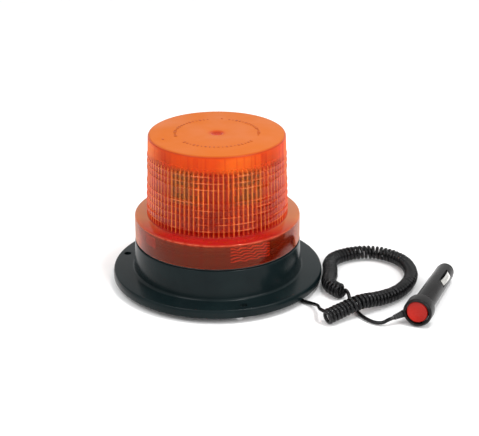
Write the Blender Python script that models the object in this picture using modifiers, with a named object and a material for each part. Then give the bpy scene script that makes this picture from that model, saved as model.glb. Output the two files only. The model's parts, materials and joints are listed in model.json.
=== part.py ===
"""LED safety flare: a magnetic amber beacon with a curly cord and a 12 V socket plug.

Lengths in this file are millimetres, and MM turns them into Blender's metres. The beacon
stands on z = 0 with its axis through the origin. The cord leaves to the right, towards +X,
and the plug lies on the floor beside it.
"""

import math

import bmesh
import bpy
from mathutils import Matrix, Vector

MM = 0.001
NAME = "led_safety_flare"

# Beacon, from the floor up.
TOTAL_HEIGHT = 95.0
FLANGE_RADIUS = 65.0
RIM_BOTTOM = 3.2
FLANGE_TOP = 8.45
WALL_RADIUS = 52.06
WALL_TOP_RADIUS = 50.9
WALL_TOP = 27.1
DECK_LOW = 12.0
DECK_TOP = 14.2
SPIGOT_RADIUS = 46.9
SPIGOT_BORE = 44.9
SPIGOT_TOP = 41.2
SKIRT_RADIUS = 50.72
SKIRT_BOTTOM = 28.2
SHOULDER = 43.9
DOME_RADIUS = 43.19
DOME_TOP_RADIUS = 41.51
LENS_WALL = 2.1
LENS_TOP_WALL = 2.4

# Optics of the dome: ribs down its inside, rings round its outside.
RIB_COUNT = 90
RIB_DEPTH = 0.9
RIB_LOW = 44.2
RIB_HIGH = 85.6
RING_HEIGHTS = (81.8, 78.1, 68.6, 64.2, 59.8, 54.8, 50.6)
RING_PROUD = 0.55
RING_HALF_WIDTH = 1.0

# Bayonet between the lens and the base.
LUG_ANGLES = (0, 120, 240)
LUG_HALF_ARC = 8.0
LUG_THICKNESS = 2.0
HOUSING_LUG_LOW = 30.6
STOP_ARC = 2.4
GAP = 0.3

# Magnet, under the deck.
MAGNET_RADIUS = 41.5
PAD_THICKNESS = 1.5

# Electronics, above the deck.
BOARD_LOW = 20.0
BOARD_THICKNESS = 1.6
BOARD_RADIUS = 43.5
BOARD_TOP = BOARD_LOW + BOARD_THICKNESS
BOSS_CIRCLE = 36.0
BOSS_ANGLES = (60, 180, 300)
TRAY_LOW = 37.0
DRUM_LOW = 57.5
DRUM_HIGH = 79.5
DRUM_APOTHEM = 28.6
LED_BOARD_SIDE = 18.0
LED_BOARD_THICKNESS = 1.2

# Cord.
CORD_RADIUS = 1.1
COIL_RADIUS = 4.7
CORD_ANGLE = -36.0
GROMMET_HEIGHT = 3.4
GROMMET_OUTER_FACE = 55.5
GROMMET_INNER_FACE = 47.3
INNER_LEAD = (
    (46.8, GROMMET_HEIGHT),
    (45.5, 3.6),
    (44.6, 4.7),
    (44.6, 7.0),
    (45.2, 10.5),
    (45.2, 14.5),
    (43.4, 17.6),
    (42.1, 20.8),
    (41.2, 24.0),
    (38.7, 25.6),
)
LEAD_ROUTE = (
    (45.2, -32.8, 3.4),
    (48.0, -34.8, 2.5),
    (50.7, -36.7, 1.3),
    (53.2, -38.5, 1.15),
    (56.4, -41.4, 1.6),
    (58.8, -45.6, 2.9),
    (60.0, -50.6, 4.7),
    (60.2, -56.2, 6.5),
    (60.7, -61.2, 7.9),
    (62.9, -65.0, 8.4),
)
COIL_ROUTE = (
    (65.3, -64.3, 4.8),
    (74.5, -57.4, 5.8),
    (84.6, -51.5, 7.6),
    (97.0, -43.2, 5.8),
    (107.6, -34.2, 4.8),
    (115.6, -23.0, 4.8),
    (120.1, -9.5, 4.8),
    (119.5, 4.7, 4.8),
    (114.2, 15.4, 4.8),
    (105.0, 22.6, 4.8),
    (94.6, 24.6, 4.8),
    (83.6, 21.6, 4.8),
    (74.6, 15.2, 4.8),
    (70.8, 7.0, 4.8),
    (70.5, -1.5, 4.8),
    (69.9, -9.5, 4.8),
    (68.6, -16.5, 4.8),
    (68.8, -22.4, 4.8),
    (70.8, -27.2, 4.8),
    (74.2, -31.2, 4.8),
)
TAIL_ROUTE = (
    (77.2, -31.2, 8.3),
    (78.0, -33.2, 7.9),
    (78.9, -36.0, 5.7),
    (80.0, -39.2, 2.8),
    (81.2, -42.8, 1.4),
    (82.4, -46.8, 1.15),
    (83.6, -51.6, 1.15),
    (85.4, -56.6, 1.15),
    (88.6, -61.4, 1.15),
    (92.4, -64.8, 1.15),
    (96.6, -66.6, 1.9),
)

# Plug, in its own frame: Z runs from the switch at 0 to the tip, and +X is the side that
# faces away from the beacon.
PLUG_PLACE = (115.9, -68.6)
PLUG_HEADING = 67.5
PLUG_ROLL = 38.0
COLLAR_RADIUS = 8.5
COLLAR_LENGTH = 9.0
COLLAR_BORE = 6.9
BARREL_START = COLLAR_LENGTH + GAP
BARREL_END = 66.0
BARREL_RADIUS = 6.15
BARREL_END_RADIUS = 5.75
NOSE_END = 70.0
TIP_END = 71.4
FUSE_RADIUS = 3.15
FUSE_START = 31.0
FUSE_END = 62.6
FUSE_BORE = 3.55
SLOT_FLOOR = 4.35
CONTACT_MIDDLE = 49.0
CONTACT_REACH = 7.2
CONTACT_HALF_WIDTH = 1.7
SWITCH_PIVOT = 5.5
SWITCH_REST_TILT = -6.0
NOZZLE_TURN = 18.0
NOZZLE_ROOT_RADIUS = 7.2
NOZZLE_ROOT_Z = 5.0
NOZZLE_LENGTH = 3.6
BUSH_LENGTH = 5.2

# Colour, roughness and metallic value of each material.
MATERIALS = {
    "black_abs": ((0.020, 0.026, 0.028), 0.42, 0.0),
    "amber_plastic": ((0.850, 0.190, 0.020), 0.12, 0.0),
    "black_rubber": ((0.012, 0.012, 0.012), 0.75, 0.0),
    "zinc_steel": ((0.560, 0.560, 0.540), 0.35, 1.0),
    "ferrite": ((0.045, 0.043, 0.042), 0.60, 0.1),
    "nickel": ((0.700, 0.690, 0.660), 0.22, 1.0),
    "green_board": ((0.030, 0.180, 0.070), 0.40, 0.0),
    "led_yellow": ((0.900, 0.620, 0.100), 0.25, 0.0),
    "white_plastic": ((0.780, 0.770, 0.740), 0.45, 0.0),
    "red_panel": ((0.600, 0.060, 0.030), 0.35, 0.0),
    "orange_panel": ((0.900, 0.240, 0.050), 0.35, 0.0),
    "capacitor_sleeve": ((0.030, 0.050, 0.120), 0.35, 0.0),
    "ferrite_core": ((0.080, 0.080, 0.085), 0.55, 0.2),
    "chip_epoxy": ((0.020, 0.020, 0.022), 0.50, 0.0),
    "terminal_green": ((0.050, 0.260, 0.140), 0.40, 0.0),
    "cord_pvc": ((0.015, 0.015, 0.016), 0.45, 0.0),
    "plug_plastic": ((0.018, 0.018, 0.019), 0.38, 0.0),
    "red_button": ((0.650, 0.025, 0.015), 0.20, 0.0),
    "glass": ((0.800, 0.830, 0.820), 0.08, 0.0),
    "spring_steel": ((0.620, 0.620, 0.600), 0.28, 1.0),
}

PLAIN_STEPS = 48
SMALL_STEPS = 20


# ---------------------------------------------------------------- scene and materials


def clear_scene():
    for obj in list(bpy.data.objects):
        bpy.data.objects.remove(obj, do_unlink=True)


def new_collection(name, hidden=False):
    collection = bpy.data.collections.new(name)
    collection.hide_render = hidden
    bpy.context.scene.collection.children.link(collection)
    return collection


def new_material(name):
    colour, roughness, metallic = MATERIALS[name]
    material = bpy.data.materials.new(name)
    material.use_nodes = True
    shader = material.node_tree.nodes["Principled BSDF"]
    shader.inputs["Base Color"].default_value = (*colour, 1.0)
    shader.inputs["Roughness"].default_value = roughness
    shader.inputs["Metallic"].default_value = metallic
    material.diffuse_color = (*colour, 1.0)
    return material


def add(name, data, material=None, parent=None, hidden=False):
    """A new object: a part with its material, or a hidden cutter without one."""
    obj = bpy.data.objects.new(name, data)
    home = CUTTERS if hidden else PARTS
    home.objects.link(obj)
    obj.parent = parent
    if hidden:
        obj.hide_render = True
        obj.display_type = "WIRE"
    else:
        data.materials.append(bpy.data.materials.get(material) or new_material(material))
    return obj


# ---------------------------------------------------------------- shapes


def polar(radius, degrees):
    angle = math.radians(degrees)
    return radius * math.cos(angle), radius * math.sin(angle)


def metres(point):
    return Vector(point) * MM


def turned(name, profile, material=None, steps=PLAIN_STEPS, parent=None, hidden=False):
    """A turned solid. Its (radius, z) points run out over the top and down the outer side."""
    mesh = bpy.data.meshes.new(name)
    points = [(radius * MM, 0.0, z * MM) for radius, z in profile]
    edges = [(i, i + 1) for i in range(len(points) - 1)]
    if profile[0][0] > 0:
        edges.append((len(points) - 1, 0))
    mesh.from_pydata(points, edges, [])
    obj = add(name, mesh, material, parent, hidden)
    screw = obj.modifiers.new("Turn", "SCREW")
    screw.axis = "Z"
    screw.angle = math.tau
    screw.steps = steps
    screw.render_steps = steps
    screw.use_merge_vertices = True
    screw.merge_threshold = 1e-5
    return obj


def cylinder(name, radius, low, high, material=None, steps=16, parent=None, hidden=False):
    """An upright cylinder between two heights, on its own origin."""
    mesh = bpy.data.meshes.new(name)
    shape = bmesh.new()
    bmesh.ops.create_cone(
        shape,
        cap_ends=True,
        segments=steps,
        radius1=radius * MM,
        radius2=radius * MM,
        depth=(high - low) * MM,
        matrix=Matrix.Translation((0, 0, (low + high) / 2 * MM)),
    )
    shape.to_mesh(mesh)
    shape.free()
    return add(name, mesh, material, parent, hidden)


def block(name, size, centre, material=None, parent=None, hidden=False, edge=0.0):
    """A box of the given size, its edges rounded when edge is more than 0."""
    mesh = bpy.data.meshes.new(name)
    shape = bmesh.new()
    bmesh.ops.create_cube(shape, size=1.0, matrix=Matrix.Diagonal((*metres(size), 1.0)))
    shape.to_mesh(mesh)
    shape.free()
    obj = add(name, mesh, material, parent, hidden)
    obj.location = metres(centre)
    if edge:
        bevel = obj.modifiers.new("Edge", "BEVEL")
        bevel.width = edge * MM
        bevel.segments = 1
    return obj


def plate(name, outline, low, high, material=None, parent=None):
    """A flat outline in X and Y, given its thickness between two heights."""
    curve = bpy.data.curves.new(name, "CURVE")
    curve.dimensions = "2D"
    curve.fill_mode = "BOTH"
    curve.extrude = (high - low) / 2 * MM
    spline = curve.splines.new("POLY")
    spline.points.add(len(outline) - 1)
    spline.use_cyclic_u = True
    for point, (x, y) in zip(spline.points, outline):
        point.co = (x * MM, y * MM, 0.0, 1.0)
    obj = add(name, curve, material, parent, hidden=material is None)
    obj.location.z = (low + high) / 2 * MM
    return obj


def arc_outline(inner, outer, start, end, pieces):
    """The outline of a curved bar between two radii and two angles."""
    angles = [start + (end - start) * i / pieces for i in range(pieces + 1)]
    outside = [polar(outer, angle) for angle in angles]
    inside = [polar(inner, angle) for angle in reversed(angles)]
    return outside + inside


def tube(name, points, radius, material, resolution=2, parent=None):
    """A round tube along points that are already close together."""
    curve = bpy.data.curves.new(name, "CURVE")
    curve.dimensions = "3D"
    curve.bevel_depth = radius * MM
    curve.bevel_resolution = resolution
    curve.use_fill_caps = True
    spline = curve.splines.new("POLY")
    spline.points.add(len(points) - 1)
    for point, place in zip(spline.points, points):
        point.co = (*metres(place), 1.0)
    return add(name, curve, material, parent)


def smooth_route(route, spacing):
    """Points about spacing apart on a smooth curve through the route's own points."""
    route = [Vector(point) for point in route]
    ends = [2 * route[0] - route[1], *route, 2 * route[-1] - route[-2]]
    fine = []
    for before, start, end, after in zip(ends, ends[1:], ends[2:], ends[3:]):
        for i in range(20):
            t = i / 20
            bend = (2 * before - 5 * start + 4 * end - after) * t * t
            twist = (3 * start - before - 3 * end + after) * t**3
            fine.append((2 * start + (end - before) * t + bend + twist) / 2)
    fine.append(route[-1])
    length = sum((b - a).length for a, b in zip(fine, fine[1:]))
    step = length / round(length / spacing)
    points = [fine[0]]
    walked = 0.0
    for a, b in zip(fine, fine[1:]):
        walked += (b - a).length
        if walked >= step * len(points) - 1e-6:
            points.append(b)
    points[-1] = fine[-1]
    return points


def as_mesh(obj):
    """The curve object made a mesh object in the same place, so that a Boolean takes it."""
    bpy.context.view_layer.update()
    graph = bpy.context.evaluated_depsgraph_get()
    mesh = bpy.data.meshes.new_from_object(obj.evaluated_get(graph))
    shape = bmesh.new()
    shape.from_mesh(mesh)
    bmesh.ops.remove_doubles(shape, verts=shape.verts, dist=1e-6)
    shape.to_mesh(mesh)
    shape.free()
    solid = bpy.data.objects.new(obj.name + "_solid", mesh)
    solid.matrix_world = obj.matrix_world
    solid.hide_render = True
    solid.display_type = "WIRE"
    CUTTERS.objects.link(solid)
    bpy.data.objects.remove(obj, do_unlink=True)
    return solid


def combine(obj, other, operation):
    """A Boolean modifier on obj, with other as its hidden tool."""
    boolean = obj.modifiers.new(other.name, "BOOLEAN")
    boolean.operation = operation
    boolean.solver = "EXACT"
    boolean.object = other


def turn_about_z(obj, degrees):
    obj.rotation_euler.z = math.radians(degrees)


# ---------------------------------------------------------------- base of the beacon


def housing_profile():
    return (
        (SPIGOT_BORE, SPIGOT_TOP),
        (SPIGOT_RADIUS, SPIGOT_TOP),
        (SPIGOT_RADIUS, WALL_TOP),
        (WALL_TOP_RADIUS - 0.5, WALL_TOP),
        (WALL_TOP_RADIUS, WALL_TOP - 0.5),
        (WALL_RADIUS, FLANGE_TOP + 1.0),
        (WALL_RADIUS + 0.9, FLANGE_TOP),
        (FLANGE_RADIUS - 1.8, FLANGE_TOP),
        (FLANGE_RADIUS - 0.5, FLANGE_TOP - 0.5),
        (FLANGE_RADIUS, FLANGE_TOP - 1.7),
        (FLANGE_RADIUS, RIM_BOTTOM),
        (FLANGE_RADIUS - 2.4, RIM_BOTTOM),
        (FLANGE_RADIUS - 2.4, FLANGE_TOP - 2.4),
        (WALL_RADIUS + 2.2, FLANGE_TOP - 2.4),
        (WALL_RADIUS + 2.2, RIM_BOTTOM),
        (WALL_RADIUS - 2.4, RIM_BOTTOM),
        (WALL_RADIUS - 2.4, DECK_LOW),
        (3.3, DECK_LOW),
        (3.3, DECK_TOP),
        (WALL_RADIUS - 3.0, DECK_TOP),
        (WALL_RADIUS - 3.0, WALL_TOP - 2.2),
        (SPIGOT_BORE, WALL_TOP - 2.2),
    )


def add_housing_lug(housing, angle):
    """A bayonet lug on the spigot, with a stop at its clockwise end."""
    inner = SPIGOT_RADIUS - 0.6
    outer = SPIGOT_RADIUS + 1.4
    high = HOUSING_LUG_LOW + LUG_THICKNESS
    start = angle - LUG_HALF_ARC - 0.4
    lug = arc_outline(inner, outer, start - STOP_ARC, angle + LUG_HALF_ARC + 1, 6)
    combine(housing, as_mesh(plate(f"housing_lug_{angle}", lug, HOUSING_LUG_LOW, high)), "UNION")
    stop = arc_outline(inner, outer, start - STOP_ARC, start, 2)
    low = SKIRT_BOTTOM + 0.2
    combine(housing, as_mesh(plate(f"housing_stop_{angle}", stop, low, high - 0.5)), "UNION")


def make_housing():
    housing = turned("base_housing", housing_profile(), "black_abs")
    for angle in BOSS_ANGLES:
        boss = cylinder(f"boss_{angle}", 3.2, DECK_TOP - 0.6, BOARD_LOW - GAP, hidden=True)
        boss.location = metres((*polar(BOSS_CIRCLE, angle), 0))
        combine(housing, boss, "UNION")
        bore = cylinder(f"boss_bore_{angle}", 1.5, DECK_TOP + 0.8, BOARD_LOW + 2, steps=10, hidden=True)
        bore.location = boss.location
        combine(housing, bore, "DIFFERENCE")
    for angle in LUG_ANGLES:
        add_housing_lug(housing, angle)
    for angle in (-74.5, 45.5, 165.5):
        hole = cylinder(f"flange_hole_{angle}", 2.25, RIM_BOTTOM, FLANGE_TOP + 2, hidden=True)
        hole.location = metres((*polar(59.5, angle), 0))
        combine(housing, hole, "DIFFERENCE")
    notch = block("cord_notch", (9.0, 5.0, 5.0), (0, 0, 0), hidden=True)
    notch.location = metres((*polar(51.5, CORD_ANGLE), 3.4))
    turn_about_z(notch, CORD_ANGLE)
    combine(housing, notch, "DIFFERENCE")
    passage = cylinder("lead_passage", 2.2, DECK_LOW - 2, DECK_TOP + 2, steps=12, hidden=True)
    passage.location = metres((*polar(45.4, CORD_ANGLE), 0))
    combine(housing, passage, "DIFFERENCE")


def make_gasket():
    low = WALL_TOP + GAP
    high = low + 0.55
    profile = ((47.4, high), (50.0, high), (50.2, high - 0.2), (50.2, low), (47.4, low))
    turned("lens_gasket", profile, "black_rubber")


def make_magnet():
    low = PAD_THICKNESS + 0.4
    high = DECK_LOW - 0.5
    roof = high - 2.2
    cup = (
        (3.3, high),
        (MAGNET_RADIUS - 0.6, high),
        (MAGNET_RADIUS, high - 0.6),
        (MAGNET_RADIUS, low),
        (MAGNET_RADIUS - 2.2, low),
        (MAGNET_RADIUS - 2.2, roof),
        (14.0, roof),
        (14.0, low),
        (3.3, low),
    )
    turned("magnet_cup", cup, "zinc_steel", steps=40)
    outer = MAGNET_RADIUS - 2.2 - GAP
    ring = ((14.3, roof - GAP), (outer, roof - GAP), (outer, low), (14.3, low))
    turned("ring_magnet", ring, "ferrite", steps=40)
    pad = (
        (0, PAD_THICKNESS),
        (MAGNET_RADIUS, PAD_THICKNESS),
        (MAGNET_RADIUS + 0.4, PAD_THICKNESS - 0.5),
        (MAGNET_RADIUS + 0.4, 0.5),
        (MAGNET_RADIUS, 0),
        (0, 0),
    )
    turned("magnet_pad", pad, "black_rubber", steps=40)
    washer_low = DECK_TOP + GAP
    washer = ((3.3, washer_low + 1.0), (6.6, washer_low + 1.0), (6.6, washer_low), (3.3, washer_low))
    turned("magnet_washer", washer, "zinc_steel", steps=SMALL_STEPS)
    make_screw("magnet_bolt", (0, 0), washer_low + 1.0 + GAP, 5.2, 3.2, 3.0, 11.5)


def make_screw(name, place, seat, head_radius, head_height, shank_radius, shank_length):
    """A cheese-head screw whose head stands on the height seat, with a slot across it."""
    top = seat + head_height
    tip = seat - shank_length
    profile = (
        (0, top),
        (head_radius - 0.4, top),
        (head_radius, top - 0.4),
        (head_radius, seat),
        (shank_radius, seat),
        (shank_radius, tip + 0.6),
        (shank_radius - 0.5, tip),
        (0, tip),
    )
    screw = turned(name, profile, "zinc_steel", steps=12)
    screw.location = metres((*place, 0))
    slot = block(f"{name}_slot", (3 * head_radius, 0.9, 1.6), (*place, top), hidden=True)
    combine(screw, slot, "DIFFERENCE")


def make_cord_entry():
    half = (GROMMET_OUTER_FACE - GROMMET_INNER_FACE) / 2
    profile = (
        (0, half),
        (2.3, half),
        (2.3, half - 1.0),
        (2.1, half - 1.0),
        (2.1, -half + 2.0),
        (2.9, -half + 2.0),
        (2.9, -half),
        (0, -half),
    )
    grommet = turned("cord_grommet", profile, "black_rubber", steps=SMALL_STEPS)
    grommet.location = metres((*polar(GROMMET_INNER_FACE + half, CORD_ANGLE), GROMMET_HEIGHT))
    grommet.rotation_euler = (0, math.radians(90), math.radians(CORD_ANGLE))
    route = [(*polar(radius, CORD_ANGLE), z) for radius, z in INNER_LEAD]
    tube("inner_lead", smooth_route(route, 2.2), CORD_RADIUS, "cord_pvc")


# ---------------------------------------------------------------- electronics and light


def make_driver_board():
    board = cylinder("driver_board", BOARD_RADIUS, BOARD_LOW, BOARD_TOP, "green_board", steps=40)
    for angle in BOSS_ANGLES:
        hole = cylinder(f"board_hole_{angle}", 1.7, BOARD_LOW - 2, BOARD_TOP + 2, steps=10, hidden=True)
        hole.location = metres((*polar(BOSS_CIRCLE, angle), 0))
        combine(board, hole, "DIFFERENCE")
        name = f"board_screw_{BOSS_ANGLES.index(angle) + 1}"
        make_screw(name, polar(BOSS_CIRCLE, angle), BOARD_TOP + GAP, 2.7, 2.0, 1.2, 6.0)
    notch = block("board_notch", (8.0, 4.4, 4.0), (0, 0, 0), hidden=True)
    notch.location = metres((*polar(43.6, CORD_ANGLE), BOARD_LOW + 0.8))
    turn_about_z(notch, CORD_ANGLE)
    combine(board, notch, "DIFFERENCE")


def make_board_parts():
    low = BOARD_TOP + GAP
    terminal = block("terminal_block", (8.0, 10.0, 8.5), (0, 0, 0), "terminal_green", edge=0.4)
    terminal.location = metres((*polar(34.0, CORD_ANGLE), low + 4.25))
    turn_about_z(terminal, CORD_ANGLE)
    for number, (angle, height) in enumerate(((100, 12.5), (140, 10.5)), 1):
        can = (
            (0, low + height),
            (4.4, low + height),
            (5.0, low + height - 0.6),
            (5.0, low),
            (0, low),
        )
        capacitor = turned(f"capacitor_{number}", can, "capacitor_sleeve", steps=SMALL_STEPS)
        capacitor.location = metres((*polar(33.5, angle), 0))
    drum = (
        (0, low + 8.0),
        (6.5, low + 8.0),
        (6.5, low + 6.5),
        (4.8, low + 5.8),
        (4.8, low + 2.2),
        (6.5, low + 1.5),
        (6.5, low),
        (0, low),
    )
    inductor = turned("inductor", drum, "ferrite_core", steps=SMALL_STEPS)
    inductor.location = metres((*polar(33.0, 20), 0))
    chip = block("driver_chip", (8.0, 6.0, 1.8), (*polar(33.0, -100), low + 0.9), "chip_epoxy", edge=0.2)
    turn_about_z(chip, -100)


def make_light_column():
    low = BOARD_TOP + GAP
    column = (
        (0, DRUM_LOW - GAP),
        (8.0, DRUM_LOW - GAP),
        (8.0, low + 2.5),
        (15.0, low + 2.5),
        (15.0, low),
        (0, low),
    )
    turned("light_column", column, "white_plastic", steps=24)
    tray = (
        (9.0, TRAY_LOW + 4.0),
        (10.4, TRAY_LOW + 3.6),
        (14.0, TRAY_LOW + 1.4),
        (SPIGOT_BORE - 1.2, TRAY_LOW + 1.4),
        (SPIGOT_BORE - 0.6, TRAY_LOW + 2.6),
        (SPIGOT_BORE - 0.6, TRAY_LOW),
        (9.0, TRAY_LOW),
    )
    turned("reflector_tray", tray, "red_panel", steps=40)
    corner = DRUM_APOTHEM / math.cos(math.radians(30))
    outline = [polar(corner, 60 * i + 30) for i in range(6)]
    plate("light_drum", outline, DRUM_LOW, DRUM_HIGH, "white_plastic")
    make_screw("drum_screw", (0, 0), DRUM_HIGH + GAP, 4.0, 2.2, 0.9, 0.2)


def make_led_boards():
    """Six boards round the drum, each with two light-emitting diodes side by side."""
    middle = (DRUM_LOW + DRUM_HIGH) / 2
    thick = LED_BOARD_THICKNESS
    for number in range(6):
        angle = 60 * number
        size = (thick, LED_BOARD_SIDE, LED_BOARD_SIDE)
        radius = DRUM_APOTHEM + GAP + thick / 2
        board = block(f"led_board_{number + 1}", size, (*polar(radius, angle), middle), "green_board")
        turn_about_z(board, angle)
        for side, offset in (("a", -4.2), ("b", 4.2)):
            make_led(f"led_{number + 1}{side}", angle, radius + thick / 2 + GAP, offset, middle)


def make_led(name, angle, radius, offset, height):
    """A square emitter with a round lens, facing outwards."""
    body = cylinder(name, 2.7, 0, 1.0, "led_yellow", steps=8)
    place = Vector((*polar(radius, angle), height))
    place += Vector((-math.sin(math.radians(angle)), math.cos(math.radians(angle)), 0)) * offset
    body.location = place * MM
    body.rotation_euler = (0, math.radians(90), math.radians(angle))
    bevel = body.modifiers.new("Lens", "BEVEL")
    bevel.width = 0.5 * MM
    bevel.segments = 1
    bevel.limit_method = "ANGLE"


def make_skirt_panels():
    inner = SPIGOT_RADIUS + GAP
    panels = (
        ("warning_panel", -80, -50, 33.2, 41.0, "orange_panel"),
        ("plain_panel", -151, -139, 33.2, 39.4, "red_panel"),
    )
    for name, start, end, low, high, material in panels:
        plate(name, arc_outline(inner, inner + 0.7, start, end, 8), low, high, material)


# ---------------------------------------------------------------- lens


def dome_radius(z):
    return DOME_RADIUS + (DOME_TOP_RADIUS - DOME_RADIUS) * (z - SHOULDER) / (TOTAL_HEIGHT - SHOULDER)


def lens_profile():
    """Down the outside with its rings, then up the plain inside."""
    bore = DOME_TOP_RADIUS - 2.6
    points = [
        (0, TOTAL_HEIGHT - 1.2),
        (2.4, TOTAL_HEIGHT - 1.0),
        (4.6, TOTAL_HEIGHT),
        (DOME_TOP_RADIUS - 0.5, TOTAL_HEIGHT),
        (DOME_TOP_RADIUS, TOTAL_HEIGHT - 0.6),
    ]
    for z in RING_HEIGHTS:
        points.append((dome_radius(z + RING_HALF_WIDTH), z + RING_HALF_WIDTH))
        points.append((dome_radius(z) + RING_PROUD, z))
        points.append((dome_radius(z - RING_HALF_WIDTH), z - RING_HALF_WIDTH))
    points += [
        (DOME_RADIUS, SHOULDER),
        (SKIRT_RADIUS - 0.7, SHOULDER),
        (SKIRT_RADIUS, SHOULDER - 0.7),
        (SKIRT_RADIUS, SKIRT_BOTTOM),
        (SKIRT_RADIUS - LENS_WALL, SKIRT_BOTTOM),
        (SKIRT_RADIUS - LENS_WALL, SHOULDER - LENS_WALL),
        (bore, SHOULDER - LENS_WALL),
        (bore, TOTAL_HEIGHT - LENS_TOP_WALL),
        (0, TOTAL_HEIGHT - LENS_TOP_WALL),
    ]
    return points


def make_rib_cutter():
    """The hollow between the ribs: a cone with every second corner drawn in."""
    low_radius = dome_radius(RIB_LOW) - 1.9
    high_radius = dome_radius(RIB_HIGH) - 1.5
    mesh = bpy.data.meshes.new("rib_cutter")
    shape = bmesh.new()
    bmesh.ops.create_cone(
        shape,
        cap_ends=True,
        segments=2 * RIB_COUNT,
        radius1=low_radius * MM,
        radius2=high_radius * MM,
        depth=(RIB_HIGH - RIB_LOW) * MM,
        matrix=Matrix.Translation((0, 0, (RIB_LOW + RIB_HIGH) / 2 * MM)),
    )
    for corner in shape.verts:
        turn = math.degrees(math.atan2(corner.co.y, corner.co.x)) % 360
        if round(turn / (180 / RIB_COUNT)) % 2:
            corner.co.xy *= 1 - RIB_DEPTH / low_radius
    shape.to_mesh(mesh)
    shape.free()
    return add("rib_cutter", mesh, hidden=True)


def make_lens():
    lens = turned("amber_lens", lens_profile(), "amber_plastic")
    combine(lens, make_rib_cutter(), "DIFFERENCE")
    low = SKIRT_BOTTOM + 0.2
    high = HOUSING_LUG_LOW - GAP
    inner = SPIGOT_RADIUS + GAP
    outer = SKIRT_RADIUS - LENS_WALL + 0.6
    for angle in LUG_ANGLES:
        lug = arc_outline(inner, outer, angle - LUG_HALF_ARC, angle + LUG_HALF_ARC, 6)
        combine(lens, as_mesh(plate(f"lens_lug_{angle}", lug, low, high)), "UNION")


# ---------------------------------------------------------------- plug


def plug_tilt():
    """The dip of the plug's axis as it rests on its collar and on its barrel's end."""
    return math.atan2(COLLAR_RADIUS - BARREL_END_RADIUS, BARREL_END - COLLAR_LENGTH)


def plug_matrix():
    """Where the plug lies: origin at the switch end, Z along the barrel, +X to the right."""
    tilt = plug_tilt()
    heading = math.radians(PLUG_HEADING)
    along = Vector((math.cos(heading), math.sin(heading), -math.tan(tilt))).normalized()
    right = along.cross(Vector((0, 0, 1))).normalized()
    up = right.cross(along)
    roll = math.radians(PLUG_ROLL)
    across = right * math.cos(roll) + up * math.sin(roll)
    turn = Matrix((across, along.cross(across), along)).transposed().to_4x4()
    height = COLLAR_RADIUS * math.cos(tilt) + COLLAR_LENGTH * math.sin(tilt) + 0.05
    return Matrix.Translation(metres((*PLUG_PLACE, height))) @ turn


def nozzle_direction():
    """The way the cord leaves the collar: to the left, down, and back past the switch."""
    side = Vector((-math.cos(math.radians(NOZZLE_TURN)), -math.sin(math.radians(NOZZLE_TURN)), 0))
    lean = math.radians(42)
    return side * math.cos(lean) - Vector((0, 0, 1)) * math.sin(lean), side


def place_on_nozzle(obj, distance):
    """Stands a piece on the nozzle's axis, its Z pointing outwards."""
    direction, side = nozzle_direction()
    root = side * NOZZLE_ROOT_RADIUS + Vector((0, 0, NOZZLE_ROOT_Z))
    obj.location = (root + direction * distance) * MM
    obj.rotation_mode = "QUATERNION"
    obj.rotation_quaternion = direction.to_track_quat("Z", "Y")


def make_collar(plug):
    profile = (
        (COLLAR_BORE, COLLAR_LENGTH),
        (COLLAR_RADIUS - 0.6, COLLAR_LENGTH),
        (COLLAR_RADIUS, COLLAR_LENGTH - 0.6),
        (COLLAR_RADIUS, 1.2),
        (COLLAR_RADIUS - 0.4, 0.3),
        (COLLAR_RADIUS - 0.9, 0),
        (COLLAR_BORE + 0.3, 0),
        (COLLAR_BORE, 0.4),
    )
    collar = turned("plug_collar", profile, "plug_plastic", steps=32, parent=plug)
    nozzle = cylinder("cord_nozzle", 2.2, 0, NOZZLE_LENGTH, steps=14, parent=plug, hidden=True)
    place_on_nozzle(nozzle, 0)
    combine(collar, nozzle, "UNION")
    bore = cylinder("collar_bore", COLLAR_BORE - 0.04, -1, COLLAR_LENGTH + 1, steps=32, parent=plug, hidden=True)
    combine(collar, bore, "DIFFERENCE")
    bush_profile = (
        (0, BUSH_LENGTH),
        (1.4, BUSH_LENGTH),
        (1.55, BUSH_LENGTH - 0.3),
        (2.0, 0.4),
        (2.0, 0),
        (0, 0),
    )
    bush = turned("cord_bush", bush_profile, "black_rubber", steps=SMALL_STEPS, parent=plug)
    place_on_nozzle(bush, NOZZLE_LENGTH + GAP)


def make_barrel(plug):
    profile = (
        (FUSE_BORE, BARREL_END),
        (BARREL_END_RADIUS - 0.6, BARREL_END),
        (BARREL_END_RADIUS, BARREL_END - 0.6),
        (BARREL_RADIUS, BARREL_START),
        (5.1, BARREL_START),
        (5.1, 20.0),
        (FUSE_BORE, 20.0),
    )
    barrel = turned("plug_barrel", profile, "plug_plastic", steps=32, parent=plug)
    for number, side in enumerate((1, -1), 1):
        centre = (side * (SLOT_FLOOR + 2.0), 0, CONTACT_MIDDLE)
        slot = block(f"contact_slot_{number}", (4.0, 5.2, 19.0), centre, parent=plug, hidden=True)
        combine(barrel, slot, "DIFFERENCE")
    nose = (
        (2.8, NOSE_END),
        (3.9, NOSE_END),
        (5.0, NOSE_END - 1.0),
        (5.5, NOSE_END - 2.4),
        (5.5, BARREL_END + GAP),
        (2.8, BARREL_END + GAP),
    )
    turned("plug_nose", nose, "plug_plastic", steps=24, parent=plug)


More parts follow.
